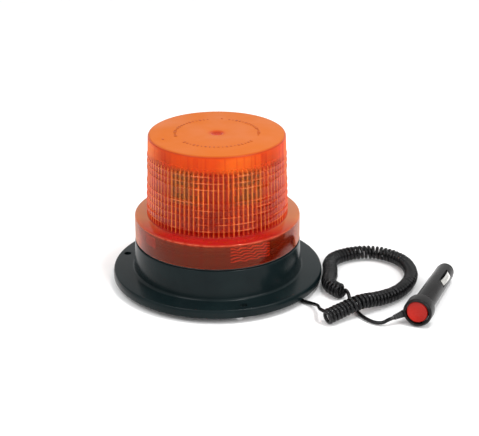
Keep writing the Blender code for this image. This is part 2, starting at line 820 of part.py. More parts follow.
def make_switch(plug):
    body = (
        (0, 19.6),
        (4.7, 19.6),
        (4.7, 8.7),
        (6.5, 8.7),
        (6.5, SWITCH_PIVOT),
        (0, SWITCH_PIVOT),
    )
    turned("switch_body", body, "plug_plastic", steps=24, parent=plug)
    rocker = (
        (0, -2.1),
        (6.0, -2.1),
        (6.35, -2.5),
        (6.35, -4.3),
        (5.9, -4.7),
        (5.0, -4.4),
        (0, -4.1),
    )
    switch = turned("switch_rocker", rocker, "red_button", steps=28, parent=plug)
    switch.location.z = SWITCH_PIVOT * MM
    switch.rotation_euler.x = math.radians(SWITCH_REST_TILT)


def make_tip(plug):
    contact = (
        (0, TIP_END),
        (1.4, TIP_END - 0.15),
        (2.2, TIP_END - 0.8),
        (2.4, TIP_END - 1.6),
        (2.4, FUSE_END + 2.0),
        (3.2, FUSE_END + 2.0),
        (3.2, FUSE_END + GAP),
        (0, FUSE_END + GAP),
    )
    turned("tip_contact", contact, "nickel", steps=16, parent=plug)
    fuse = (
        (0, FUSE_END),
        (FUSE_RADIUS, FUSE_END),
        (FUSE_RADIUS, FUSE_END - 6.0),
        (FUSE_RADIUS - 0.25, FUSE_END - 6.0),
        (FUSE_RADIUS - 0.25, FUSE_START + 6.0),
        (FUSE_RADIUS, FUSE_START + 6.0),
        (FUSE_RADIUS, FUSE_START),
        (0, FUSE_START),
    )
    turned("plug_fuse", fuse, "glass", steps=16, parent=plug)
    low = 20.35
    high = FUSE_START - GAP - 0.4
    turns = 5
    steps = turns * 9
    points = [
        (*polar(2.7, 360 * turns * i / steps), low + (high - low) * i / steps)
        for i in range(steps + 1)
    ]
    tube("fuse_spring", points, 0.35, "spring_steel", parent=plug)


def make_side_contact(plug, name, side):
    """A bowed strip that stands out of its slot in the barrel."""
    bow = ((5.8, -8.2), (6.4, -6.6), (CONTACT_REACH, -2.6), (CONTACT_REACH, 2.6), (6.4, 6.6), (5.8, 8.2))
    outer = [(side * x, CONTACT_MIDDLE + z) for x, z in bow]
    inner = [(side * (x - 0.5), CONTACT_MIDDLE + z) for x, z in reversed(bow)]
    strip = plate(name, outer + inner, -CONTACT_HALF_WIDTH, CONTACT_HALF_WIDTH, "nickel", parent=plug)
    strip.rotation_euler.x = math.radians(90)


def make_plug():
    plug = bpy.data.objects.new("plug_frame", None)
    PARTS.objects.link(plug)
    plug.matrix_world = plug_matrix()
    bpy.context.view_layer.update()
    make_collar(plug)
    make_barrel(plug)
    make_switch(plug)
    make_tip(plug)
    make_side_contact(plug, "side_contact_right", 1)
    make_side_contact(plug, "side_contact_left", -1)
    return plug


# ---------------------------------------------------------------- cord


def tail_ends():
    """The cord's last points: in line with the bush, then just off its outer face."""
    direction, side = nozzle_direction()
    root = side * NOZZLE_ROOT_RADIUS + Vector((0, 0, NOZZLE_ROOT_Z))
    reach = NOZZLE_LENGTH + GAP + BUSH_LENGTH + GAP
    places = (root + direction * (reach + out) for out in (3.5, 0))
    return [plug_matrix() @ (place * MM) / MM for place in places]


def make_cord():
    tube("cord_lead", smooth_route(LEAD_ROUTE, 3.0), CORD_RADIUS, "cord_pvc")
    tube("cord_coil", smooth_route(COIL_ROUTE, 6.0), COIL_RADIUS, "cord_pvc", resolution=4)
    tube("cord_tail", smooth_route((*TAIL_ROUTE, *tail_ends()), 3.0), CORD_RADIUS, "cord_pvc")


clear_scene()
PARTS = new_collection(NAME)
CUTTERS = new_collection("cutters", hidden=True)
make_housing()
make_gasket()
make_magnet()
make_cord_entry()
make_driver_board()
make_board_parts()
make_light_column()
make_led_boards()
make_skirt_panels()
make_lens()
make_plug()
make_cord()
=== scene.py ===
"""Looks of the LED safety flare: the amber lens with its ribs, the moulded base, what shows
through the lens, the curly cord and the socket plug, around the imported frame.

Lengths are millimetres in the frame's axes unless a name says otherwise, and MM turns them
into metres. The plug's pieces are shaped in the plug's own axes, as its joints give them.
"""

import json
import math

import bmesh
import bpy
from mathutils import Matrix, Vector


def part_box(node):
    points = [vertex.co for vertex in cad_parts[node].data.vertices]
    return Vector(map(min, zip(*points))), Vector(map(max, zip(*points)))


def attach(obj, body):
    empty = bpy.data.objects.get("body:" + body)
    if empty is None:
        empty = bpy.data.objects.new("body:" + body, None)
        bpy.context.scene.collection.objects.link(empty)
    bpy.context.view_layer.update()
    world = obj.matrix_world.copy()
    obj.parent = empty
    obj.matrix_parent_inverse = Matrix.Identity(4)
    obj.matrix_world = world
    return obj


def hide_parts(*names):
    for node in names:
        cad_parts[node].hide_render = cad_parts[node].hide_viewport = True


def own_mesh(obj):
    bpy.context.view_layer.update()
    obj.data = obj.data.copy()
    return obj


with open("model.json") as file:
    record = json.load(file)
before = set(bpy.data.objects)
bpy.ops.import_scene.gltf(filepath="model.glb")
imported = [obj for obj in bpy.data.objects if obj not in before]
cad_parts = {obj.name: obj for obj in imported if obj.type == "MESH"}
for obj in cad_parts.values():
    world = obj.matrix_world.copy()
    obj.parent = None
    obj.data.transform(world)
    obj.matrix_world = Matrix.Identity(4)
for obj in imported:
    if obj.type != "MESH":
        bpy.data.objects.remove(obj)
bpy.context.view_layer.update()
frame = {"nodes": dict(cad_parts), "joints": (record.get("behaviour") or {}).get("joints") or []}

MM = 0.001
SHARP_DEGREES = 40
SCENE = bpy.context.scene
JOINTS = {joint["name"]: joint for joint in frame["joints"]}


def extent(node):
    """A CAD node's lowest and highest corner, in millimetres."""
    low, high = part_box(node)
    return [value / MM for value in low], [value / MM for value in high]


# Camera, in millimetres and degrees, fitted to the photograph's outline.
CAMERA_LENS = 94.935
CAMERA_SENSOR = 36.0
CAMERA_PLACE = (13.6, -716.0, 347.45)
CAMERA_TILT = 23.284

# Lamps: name, place and size in metres, power in watts. The small one makes the glints.
LAMPS = (
    ("key", (-0.55, -0.45, 0.95), 0.5, 4.0),
    ("fill", (0.70, -0.60, 0.60), 0.6, 5.0),
    ("glint", (0.25, -0.15, 0.85), 0.07, 2.4),
)
LAMP_AIM = (0.02, 0, 0.04)
WORLD_STRENGTH = 0.9
FLOOR_SIZE = 6.0
FLOOR_Z = -0.0004

# Sizes read from the frame.
LENS_LOW, LENS_HIGH = extent("amber_lens")
HOUSING_LOW, HOUSING_HIGH = extent("base_housing")
PAD_HIGH = extent("magnet_pad")[1]
TOP = LENS_HIGH[2]
SKIRT_RADIUS = LENS_HIGH[0]
SKIRT_BOTTOM = LENS_LOW[2]
FLANGE_RADIUS = HOUSING_HIGH[0]
RIM_BOTTOM = HOUSING_LOW[2]
SPIGOT_TOP = HOUSING_HIGH[2]

# Lens.
SHOULDER = 43.9
DOME_RADIUS = 43.19
DOME_TOP_RADIUS = 41.51
LENS_WALL = 2.1
RIB_COUNT = 90
RIB_LOW = 44.2
RIB_HIGH = 85.6
RIB_DEPTH = 0.85
POINTS_PER_RIB = 8
RINGS = (82.6, 78.6, 74.6, 66.2, 61.8, 57.4, 53.0, 48.8)
RING_SECTION = ((0.6, 0), (0.3, 0.14), (0.12, 0.3), (-0.12, 0.3), (-0.3, 0.14), (-0.6, 0))

# The amber's colour, clearness and roughness by height, set against the photograph.
AMBER_BANDS = (
    (28.0, (0.46, 0.045, 0.012)), (38.0, (0.50, 0.055, 0.012)),
    # The stop at 43.2 is a painted highlight line along the skirt's top edge.
    (42.6, (0.62, 0.080, 0.018)), (43.2, (0.85, 0.170, 0.080)),
    (43.6, (0.62, 0.030, 0.020)), (44.2, (0.58, 0.014, 0.018)),
    (50.0, (0.62, 0.026, 0.014)), (62.0, (0.74, 0.070, 0.014)),
    (74.0, (0.82, 0.150, 0.018)), (86.0, (0.80, 0.095, 0.010)),
    # The stop at 94.5 is a painted shade line round the rim of the top disc.
    (93.6, (0.76, 0.085, 0.010)), (94.5, (0.42, 0.050, 0.012)),
    (95.0, (0.52, 0.118, 0.008)),
)
# Painted highlights along the rib edges and along the rings, and painted shade between the rib
# crests.
RIB_HIGHLIGHT_COLOUR = (1.0, 0.36, 0.055)
RING_HIGHLIGHT_COLOUR = (1.0, 0.30, 0.10)
RING_HIGHLIGHT_HALF = 0.5
RIB_SHADE_COLOUR = (0.30, 0.020, 0.005)
# Painted views of the boards behind the lens and of the gaps between them, by angle round the dome.
BOARD_ZONE_COLOUR = (0.50, 0.20, 0.045)
BOARD_ZONE = (65.0, 84.0)
ZONES = 6
GAP_ZONE_COLOUR = (0.60, 0.022, 0.010)
# A painted glow near the top of the dome.
GLOW_COLOUR = (0.95, 0.24, 0.022)
GLOW_LOW = 84.5
DEEP_COLOUR = (0.55, 0.030, 0.008)
# A painted glow on the shoulder, growing from front to back.
SHOULDER_GLOW_COLOUR = (0.54, 0.175, 0.055)
SHOULDER_BAND = (43.2, 44.6)
SHOULDER_GLOW_Y = (-36.0, -10.0)
# A painted tan edge light where the skirt is seen edge-on.
SKIRT_EDGE_LIGHT_COLOUR = (0.55, 0.20, 0.10)
SKIRT_EDGE_END = (43.4, 44.0)
# Painted shade in and round the dimple in the top disc.
DIMPLE_SHADE_COLOUR = (0.50, 0.040, 0.004)
DIMPLE_REACH = (2.0, 6.2)
AMBER_IOR = 1.38
AMBER_SPECULAR = 0.25
AMBER_SPECULAR_TINT = (1.0, 0.58, 0.40, 1.0)
AMBER_SHADOW = (0.70, 0.62, 0.58, 1.0)
CLEAR_BANDS = (
    (28.0, 0.90), (42.6, 0.88), (43.2, 0.55),
    (44.0, 0.60), (47.0, 0.86), (84.0, 0.88),
    (87.0, 0.66), (94.0, 0.50), (95.0, 0.05),
)
ROUGH_BANDS = (
    (28.0, 0.09), (43.0, 0.09), (44.5, 0.07),
    (86.0, 0.06), (94.0, 0.14), (95.0, 0.45),
)

# Moulded marks on the top disc: a ring in three arcs, and dots by radius, angle and size.
MARK_RADIUS = 25.2
MARK_STEP = 5.6
MARK_ARCS = ((104, 194), (-9, 73), (-138, -36))
MARK_DOTS = ((33.9, -159.5, 1.3), (26.1, 84.0, 1.0))
MARK_THICKNESS = 0.4

# Panels behind the skirt: lowest and highest point, first and last angle.
LOUVRED_PANEL = (31.4, 41.0, -80, -50)
FIELD_PANEL = (33.2, 39.4, -151, -139)
LOUVRES = 5
LOUVRE_DEPTH = 0.9

# Housing.
FLANGE_TOP = 8.45
WALL_RADIUS = 52.06
WALL_TOP_RADIUS = 50.9
WALL_TOP = 27.1
DECK_LOW = 12.0
DECK_TOP = 14.2
SPIGOT_RADIUS = 46.9
SPIGOT_BORE = 44.9
SPIGOT_RIDGES = (39.6, 37.8, 36.0, 34.2)
HOLE_ANGLES = (-74.5, 45.5, 165.5)
HOLE_CIRCLE = 59.5
HOLE_RADIUS = 2.25
CORD_ANGLE = -36.0
CORD_EXIT_Z = 3.4
GASKET_BORE = 47.4
GROMMET_ENDS = (47.3, 55.5)
PAD_RINGS = 13
PAD_RING_SPACING = 3.0
DRUM_RADIUS = 33.0

# Cord: its route, as the CAD solids lie.
CORD_DIAMETER = 2.2
COIL_MEAN_RADIUS = 3.55
COIL_TAPER = 0.35
COIL_PITCH = 2.72
COIL_SCATTER = 0.06
COIL_OVERHANG = 1.6
POINTS_PER_TURN = 16
FIRST_TURN_ANGLE = -20.0
LAST_TURN_ANGLE = -90.0
LEAD_ROUTE = (
    (45.2, -32.8, 3.4), (48.0, -34.8, 2.5), (50.7, -36.7, 1.3),
    (53.2, -38.5, 1.15), (56.4, -41.4, 1.6), (58.8, -45.6, 2.9),
    (60.0, -50.6, 4.7), (60.2, -56.2, 6.5), (60.7, -61.2, 7.9),
)
COIL_ROUTE = (
    (65.3, -64.3, 4.8), (74.5, -57.4, 5.8), (84.6, -51.5, 7.6), (97.0, -43.2, 5.8),
    (107.6, -34.2, 4.8), (115.6, -23.0, 4.8), (120.1, -9.5, 4.8), (119.5, 4.7, 4.8),
    (114.2, 15.4, 4.8), (105.0, 22.6, 4.8), (94.6, 24.6, 4.8), (83.6, 21.6, 4.8),
    (74.6, 15.2, 4.8), (70.8, 7.0, 4.8), (70.5, -1.5, 4.8), (69.9, -9.5, 4.8),
    (68.6, -16.5, 4.8), (68.8, -22.4, 4.8), (70.8, -27.2, 4.8), (74.2, -31.2, 4.8),
)
TAIL_ROUTE = (
    (78.9, -36.0, 5.7), (80.0, -39.2, 2.8), (81.2, -42.8, 1.4),
    (82.4, -46.8, 1.15), (83.6, -51.6, 1.15), (85.4, -56.6, 1.15),
    (88.6, -61.4, 1.15), (92.4, -64.8, 1.15), (96.6, -66.6, 1.9),
)

# Plug, in its own axes: Z runs from the switch to the tip, +X faces away from the beacon.
COLLAR_RADIUS = 8.5
COLLAR_LENGTH = 9.0
COLLAR_BORE = 6.9
BARREL_RADIUS = 6.15
BARREL_END_RADIUS = 5.75
BARREL_END = 66.0
BARREL_BORE = 5.1
FUSE_BORE = 3.55
NOSE_END = 70.0
TIP_END = 71.4
FUSE_END = 62.6
SLOT_FLOOR = 4.35
CONTACT_MIDDLE = 49.0
CONTACT_HALF_WIDTH = 1.7
CONTACT_HALF_THICK = 0.24
CONTACT_BOW = (
    (5.6, -8.2), (6.2, -6.4), (6.8, -3.2), (6.95, 0),
    (6.8, 3.2), (6.2, 6.4), (5.6, 8.2),
)
SWITCH_PIVOT = 5.5
SWITCH_RADIUS = 6.35
SPRING_LOW = 20.35
SPRING_HIGH = 30.3
SPRING_TURNS = 5
SPRING_RADIUS = 2.7
SPRING_WIRE = 0.35
SWITCH_REST_TILT = -6.0
NOZZLE_TURN = 18.0
NOZZLE_LEAN = 42.0
NOZZLE_ROOT_RADIUS = 7.2
NOZZLE_ROOT_Z = 5.0
NOZZLE_LENGTH = 3.6
BUSH_LENGTH = 5.2
GAP = 0.3


def add_object(name, data):
    """A new object in the scene that holds the data."""
    made = bpy.data.objects.new(name, data)
    SCENE.collection.objects.link(made)
    return made


# ---- camera, floor, light


def add_camera():
    data = bpy.data.cameras.new("camera")
    data.lens = CAMERA_LENS
    data.sensor_width = CAMERA_SENSOR
    camera = add_object("camera", data)
    camera.location = Vector(CAMERA_PLACE) * MM
    camera.rotation_euler = (math.radians(90 - CAMERA_TILT), 0, 0)
    SCENE.camera = camera


def add_lamp(name, place, size, power):
    """A square white lamp, in metres and watts, facing the beacon."""
    data = bpy.data.lights.new(name, "AREA")
    data.size = size
    data.energy = power
    lamp = add_object(name, data)
    lamp.location = place
    aim = Vector(LAMP_AIM) - Vector(place)
    lamp.rotation_euler = aim.to_track_quat("-Z", "Y").to_euler()


def add_surroundings():
    world = bpy.data.worlds.new("studio")
    world.use_nodes = True
    backdrop = world.node_tree.nodes["Background"]
    backdrop.inputs["Color"].default_value = (1.0, 1.0, 1.0, 1.0)
    backdrop.inputs["Strength"].default_value = WORLD_STRENGTH
    SCENE.world = world
    SCENE.view_settings.view_transform = "Standard"
    for lamp in LAMPS:
        add_lamp(*lamp)
    bpy.ops.mesh.primitive_plane_add(size=FLOOR_SIZE, location=(0, 0, FLOOR_Z))
    floor = bpy.context.object
    floor.name = "floor"
    material, tree, shader = new_material("floor_paper", (0.93, 0.93, 0.93), 0.8)
    tint = ramp(tree, noise(tree, 40.0), (0.90, 0.90, 0.90), (0.94, 0.94, 0.94))
    feed(shader, "Base Color", tint)
    floor.data.materials.append(material)


# ---- material nodes


def new_material(name, colour, roughness, metallic=0.0):
    material = bpy.data.materials.new(name)
    material.use_nodes = True
    tree = material.node_tree
    shader = tree.nodes["Principled BSDF"]
    shader.inputs["Base Color"].default_value = (*colour, 1.0)
    shader.inputs["Roughness"].default_value = roughness
    shader.inputs["Metallic"].default_value = metallic
    material.diffuse_color = (*colour, 1.0)
    return material, tree, shader


def node(tree, kind, inputs=None, **settings):
    """A new shader node with its settings, its inputs given as values or as sockets to link."""
    made = tree.nodes.new(kind)
    for key, value in settings.items():
        setattr(made, key, value)
    for key, value in (inputs or {}).items():
        if isinstance(value, bpy.types.NodeSocket):
            tree.links.new(value, made.inputs[key])
        else:
            made.inputs[key].default_value = value
    return made


def feed(shader, name, socket):
    """Links the socket to the shader's input of that name."""
    shader.id_data.links.new(socket, shader.inputs[name])


def place_in(tree):
    return node(tree, "ShaderNodeTexCoord").outputs["Object"]


def noise(tree, scale, detail=3.0, stretch=(1, 1, 1)):
    """Noise over the object's own space; scale is in features per metre."""
    mapping = node(tree, "ShaderNodeMapping", {"Vector": place_in(tree), "Scale": stretch})
    inputs = {"Vector": mapping.outputs["Vector"], "Scale": scale, "Detail": detail}
    return node(tree, "ShaderNodeTexNoise", inputs).outputs["Fac"]


def ramp(tree, factor, low, high, start=0.3, end=0.7):
    """A blend from one colour to another as the factor goes from start to end."""
    made = node(tree, "ShaderNodeValToRGB", {"Fac": factor})
    made.color_ramp.elements[0].position = start
    made.color_ramp.elements[0].color = (*low, 1.0)
    made.color_ramp.elements[1].position = end
    made.color_ramp.elements[1].color = (*high, 1.0)
    return made.outputs["Color"]


def spread(tree, factor, low, high, start=0.3, end=0.7):
    """The factor's stretch from start to end mapped to low to high."""
    inputs = {"Value": factor, "From Min": start, "From Max": end, "To Min": low, "To Max": high}
    return node(tree, "ShaderNodeMapRange", inputs).outputs["Result"]


def bump(tree, shader, height, depth_mm):
    """Relief of the given depth on the shader."""
    inputs = {"Height": height, "Strength": 1.0, "Distance": depth_mm * MM}
    feed(shader, "Normal", node(tree, "ShaderNodeBump", inputs).outputs["Normal"])


def moulded(name, dark, light, rough_low, rough_high, grain=1800.0, depth=0.02, gloss=0.5):
    """Moulded or coated stuff: uneven colour and gloss, and a fine grain."""
    material, tree, shader = new_material(name, light, rough_high)
    shader.inputs["Specular IOR Level"].default_value = gloss
    cloud = noise(tree, 55.0, 4.0)
    feed(shader, "Base Color", ramp(tree, cloud, dark, light))
    feed(shader, "Roughness", spread(tree, cloud, rough_low, rough_high))
    bump(tree, shader, noise(tree, grain, 2.0), depth)
    return material


def brushed_metal(name, dark, light, rough_low, rough_high, stretch):
    """Metal with fine lines along one axis and a few dull patches."""
    material, tree, shader = new_material(name, light, rough_high, 1.0)
    lines = noise(tree, 900.0, 3.0, stretch)
    feed(shader, "Base Color", ramp(tree, lines, dark, light))
    patches = noise(tree, 120.0)
    feed(shader, "Roughness", spread(tree, patches, rough_low, rough_high))
    bump(tree, shader, lines, 0.01)
    return material


# ---- materials


def bands(tree, height, stops):
    """A colour or a plain value by height in millimetres, blended between the stops."""
    low = stops[0][0]
    high = stops[-1][0]
    factor = spread(tree, height, 0.0, 1.0, low * MM, high * MM)
    made = node(tree, "ShaderNodeValToRGB", {"Fac": factor})
    elements = made.color_ramp.elements
    while len(elements) < len(stops):
        elements.new(0.5)
    for element, (z, value) in zip(elements, stops):
        colour = value if isinstance(value, tuple) else (value, value, value)
        element.position = (z - low) / (high - low)
        element.color = (*colour, 1.0)
    return made.outputs["Color"]


def maths(tree, operation, first, second=None):
    inputs = {0: first} if second is None else {0: first, 1: second}
    return node(tree, "ShaderNodeMath", inputs, operation=operation).outputs["Value"]


def times(tree, first, second):
    return maths(tree, "MULTIPLY", first, second)


def blend_colour(tree, factor, low, high):
    """A mix of two colours, each given as a value or as a socket."""
    mix = node(tree, "ShaderNodeMix", data_type="RGBA")
    for name, value in (("Factor", factor), ("A", low), ("B", high)):
        socket = next(i for i in mix.inputs if i.name == name and i.enabled)
        if isinstance(value, bpy.types.NodeSocket):
            tree.links.new(value, socket)
        elif name == "Factor":
            socket.default_value = value
        else:
            socket.default_value = (*value, 1.0)
    return next(o for o in mix.outputs if o.enabled)


def around(tree, parts):
    """The angle round the lens's axis, in radians."""
    return maths(tree, "ARCTAN2", parts.outputs["Y"], parts.outputs["X"])


def distance_out(tree, parts):
    """The distance from the lens's axis, in metres."""
    flat = node(tree, "ShaderNodeCombineXYZ", {"X": parts.outputs["X"], "Y": parts.outputs["Y"]})
    reach = node(tree, "ShaderNodeVectorMath", {0: flat.outputs["Vector"]}, operation="LENGTH")
    return reach.outputs["Value"]


def between(tree, height, low, high, blend):
    """1 where the height lies between low and high, falling to 0 over the blend."""
    foot = spread(tree, height, 0.0, 1.0, (low - blend) * MM, (low + blend) * MM)
    head = spread(tree, height, 1.0, 0.0, (high - blend) * MM, (high + blend) * MM)
    return times(tree, foot, head)


def rib_phase(tree, parts):
    """0 on the crest of a rib and 0.5 midway between two."""
    turns = times(tree, around(tree, parts), RIB_COUNT / math.tau)
    share = maths(tree, "FRACT", turns)
    return maths(tree, "ABSOLUTE", maths(tree, "SUBTRACT", share, 0.5))


def ring_highlights(tree, height):
    """1 along each ring of the dome, where the painted highlight lines go."""
    stops = [(RIB_LOW, 0)]
    for z in sorted(RINGS):
        stops += [(z - RING_HIGHLIGHT_HALF, 0), (z, 1), (z + RING_HIGHLIGHT_HALF, 0)]
    stops.append((TOP, 0))
    return bands(tree, height, stops)


def dome_colour(tree, parts):
    """The dome's colour: painted views of the boards and gaps behind, painted shade between the rib
    crests and painted highlight lines along the ribs and rings; and where the highlight lines lie.
    """
    height = parts.outputs["Z"]
    colour = bands(tree, height, AMBER_BANDS)
    ribbed = between(tree, height, RIB_LOW + 1.2, RIB_HIGH - 1.0, 1.0)
    # Painted views of the boards behind the lens and of the gaps between them.
    zone = maths(tree, "COSINE", times(tree, around(tree, parts), float(ZONES)))
    level = between(tree, height, *BOARD_ZONE, 2.5)
    board = times(tree, spread(tree, zone, 0.0, 0.75, 0.0, 0.8), level)
    corner = times(tree, spread(tree, zone, 0.8, 0.0, -0.9, 0.1), ribbed)
    colour = blend_colour(tree, corner, colour, GAP_ZONE_COLOUR)
    colour = blend_colour(tree, board, colour, BOARD_ZONE_COLOUR)
    # Painted shade between the rib crests, then painted highlights along the rib edges.
    phase = rib_phase(tree, parts)
    shade = times(tree, spread(tree, phase, 0.75, 0.0, 0.06, 0.24), ribbed)
    colour = blend_colour(tree, shade, colour, RIB_SHADE_COLOUR)
    highlight_lines = times(tree, spread(tree, phase, 0.0, 1.0, 0.32, 0.47), ribbed)
    highlight_lines = times(tree, highlight_lines, spread(tree, noise(tree, 45.0, 2.0), 0.3, 1.0))
    colour = blend_colour(tree, highlight_lines, colour, RIB_HIGHLIGHT_COLOUR)
    # Painted highlight lines along the rings, broken by noise.
    broken = spread(tree, noise(tree, 110.0, 2.0), 0.1, 0.8, 0.4, 0.6)
    ring = times(tree, ring_highlights(tree, height), broken)
    colour = blend_colour(tree, ring, colour, RING_HIGHLIGHT_COLOUR)
    return colour, maths(tree, "MAXIMUM", highlight_lines, ring)


def lens_colour(tree, parts):
    """The lens's whole colour with its painted glow and shade, and the share of its clearness that
    the painted highlight lines and shoulder glow leave.
    """
    height = parts.outputs["Z"]
    colour, highlight_lines = dome_colour(tree, parts)
    deep = spread(tree, noise(tree, 300.0, 2.0, (1, 1, 0.02)), 0.0, 0.75, 0.46, 0.66)
    deep = times(tree, deep, between(tree, height, 20.0, TOP - 1.4, 0.5))
    # A painted glow near the top of the dome.
    glow = spread(tree, noise(tree, 26.0, 1.0, (1, 1, 0.5)), 0.0, 0.8, 0.46, 0.62)
    glow = times(tree, glow, between(tree, height, GLOW_LOW, TOP - 1.6, 1.0))
    colour = blend_colour(tree, glow, colour, GLOW_COLOUR)
    colour = blend_colour(tree, deep, colour, DEEP_COLOUR)
    # A painted glow on the shoulder, growing towards the back.
    shoulder = between(tree, height, *SHOULDER_BAND, 0.5)
    front, back = (y * MM for y in SHOULDER_GLOW_Y)
    side = times(tree, shoulder, spread(tree, parts.outputs["Y"], 0.0, 1.0, front, back))
    colour = blend_colour(tree, side, colour, SHOULDER_GLOW_COLOUR)
    # Painted shade in and round the dimple.
    inner, outer = (reach * MM for reach in DIMPLE_REACH)
    dimple_shade = spread(tree, distance_out(tree, parts), 0.95, 0.0, inner, outer)
    colour = blend_colour(tree, dimple_shade, colour, DIMPLE_SHADE_COLOUR)
    # The plastic is made less clear under the painted highlights and the shoulder glow.
    painted_light_mask = maths(tree, "MAXIMUM", highlight_lines, side)
    return colour, maths(tree, "SUBTRACT", 1.0, times(tree, painted_light_mask, 0.6))


def edge_on(tree, shader, colour, height):
    """The shader with a painted duller shade where the dome's wall is seen edge-on, and a painted
    tan edge light on the skirt.
    """
    facing = node(tree, "ShaderNodeLayerWeight", {"Blend": 0.5}).outputs["Facing"]
    edge = spread(tree, facing, 0.0, 0.9, 0.40, 0.88)
    edge = times(tree, edge, between(tree, height, 45.0, TOP - 1.0, 0.4))
    low, high = (z * MM for z in SKIRT_EDGE_END)
    skirt = maths(tree, "SUBTRACT", 1.0, spread(tree, height, 0.0, 1.0, low, high))
    skirt_edge_light = times(tree, spread(tree, facing, 0.0, 0.8, 0.62, 0.95), skirt)
    # Painted edge colours: a duller shade on the dome, a tan edge light on the skirt.
    dull = blend_colour(tree, 0.3, colour, DEEP_COLOUR)
    dull = blend_colour(tree, skirt, dull, SKIRT_EDGE_LIGHT_COLOUR)
    edge = maths(tree, "MAXIMUM", edge, skirt_edge_light)
    painted_edge_shader = node(tree, "ShaderNodeBsdfDiffuse", {"Color": dull})
    inputs = {0: edge, 1: shader.outputs["BSDF"], 2: painted_edge_shader.outputs["BSDF"]}
    return node(tree, "ShaderNodeMixShader", inputs)


def amber_material():
    """Amber plastic, coloured by height and round the dome with painted highlights, glow and shade,
    that lets tinted light in.
    """
    material, tree, shader = new_material("amber_plastic", (0.9, 0.16, 0.02), 0.08)
    shader.inputs["IOR"].default_value = AMBER_IOR
    shader.inputs["Specular IOR Level"].default_value = AMBER_SPECULAR
    shader.inputs["Specular Tint"].default_value = AMBER_SPECULAR_TINT
    parts = node(tree, "ShaderNodeSeparateXYZ", {"Vector": place_in(tree)})
    height = parts.outputs["Z"]
    colour, clearness_after_painted_light = lens_colour(tree, parts)
    feed(shader, "Base Color", colour)
    clear = times(tree, bands(tree, height, CLEAR_BANDS), clearness_after_painted_light)
    feed(shader, "Transmission Weight", clear)
    uneven = spread(tree, noise(tree, 45.0, 2.0), 0.8, 1.25)
    rough = times(tree, bands(tree, height, ROUGH_BANDS), uneven)
    feed(shader, "Roughness", rough)
    bump(tree, shader, noise(tree, 160.0, 2.0), 0.012)
    body = edge_on(tree, shader, colour, height)
    shadow = node(tree, "ShaderNodeBsdfTransparent", {"Color": AMBER_SHADOW})
    shadow_ray = node(tree, "ShaderNodeLightPath").outputs["Is Shadow Ray"]
    inputs = {0: shadow_ray, 1: body.outputs["Shader"], 2: shadow.outputs["BSDF"]}
    choice = node(tree, "ShaderNodeMixShader", inputs)
    tree.links.new(choice.outputs["Shader"], tree.nodes["Material Output"].inputs["Surface"])
    return material


def board_material(name):
    """Green solder mask with copper tracks and dull pads."""
    material, tree, shader = new_material(name, (0.03, 0.17, 0.07), 0.4)
    inputs = {"Vector": place_in(tree), "Scale": 160.0}
    edge = node(tree, "ShaderNodeTexVoronoi", inputs, feature="DISTANCE_TO_EDGE").outputs["Distance"]
    tracks = ramp(tree, edge, (0.42, 0.62, 0.26), (0.22, 0.44, 0.16), 0.03, 0.05)
    feed(shader, "Base Color", tracks)
    bump(tree, shader, edge, 0.02)
    return material


def louvre_material(name):
    """Orange louvres with painted shade that darkens them towards their roots."""
    material, tree, shader = new_material(name, (1.0, 0.5, 0.12), 0.4)
    parts = node(tree, "ShaderNodeSeparateXYZ", {"Vector": place_in(tree)})
    root = SPIGOT_RADIUS + 0.6
    rise = spread(tree, distance_out(tree, parts), 0.0, 1.0, root * MM, (root + 0.6) * MM)
    # Painted shade: near black at the louvres' roots, orange at their crests.
    tint = ramp(tree, rise, (0.03, 0.006, 0.004), (1.0, 0.62, 0.20), 0.15, 0.60)
    feed(shader, "Base Color", tint)
    bump(tree, shader, noise(tree, 900.0, 2.0), 0.02)
    return material


def led_material():
    """Yellow phosphor, uneven as cast."""
    material, tree, shader = new_material("led_yellow", (0.95, 0.66, 0.12), 0.25)
    cloud = noise(tree, 700.0, 3.0)
    tint = ramp(tree, cloud, (0.85, 0.52, 0.06), (0.98, 0.74, 0.20))
    feed(shader, "Base Color", tint)
    shader.inputs["Coat Weight"].default_value = 0.6
    bump(tree, shader, cloud, 0.02)
    return material


def red_button_material():
    """Red switch plastic, uneven in its depth of colour."""
    material, tree, shader = new_material("red_button", (0.46, 0.012, 0.006), 0.2)
    shader.inputs["Specular IOR Level"].default_value = 0.2
    cloud = noise(tree, 70.0, 1.0)
    tint = ramp(tree, cloud, (0.22, 0.004, 0.002), (0.42, 0.012, 0.005))
    feed(shader, "Base Color", tint)
    feed(shader, "Roughness", spread(tree, noise(tree, 300.0), 0.16, 0.30))
    bump(tree, shader, noise(tree, 900.0, 2.0), 0.01)
    return material


def cord_material():
    """Black PVC with a shine and a fine grain."""
    material, tree, shader = new_material("cord_pvc", (0.008, 0.008, 0.009), 0.26)
    shader.inputs["Specular IOR Level"].default_value = 0.22
    cloud = noise(tree, 120.0, 4.0)
    tint = ramp(tree, cloud, (0.003, 0.003, 0.003), (0.007, 0.007, 0.008))
    feed(shader, "Base Color", tint)
    feed(shader, "Roughness", spread(tree, cloud, 0.10, 0.18))
    bump(tree, shader, noise(tree, 2600.0, 2.0), 0.015)
    return material


add_camera()
add_surroundings()

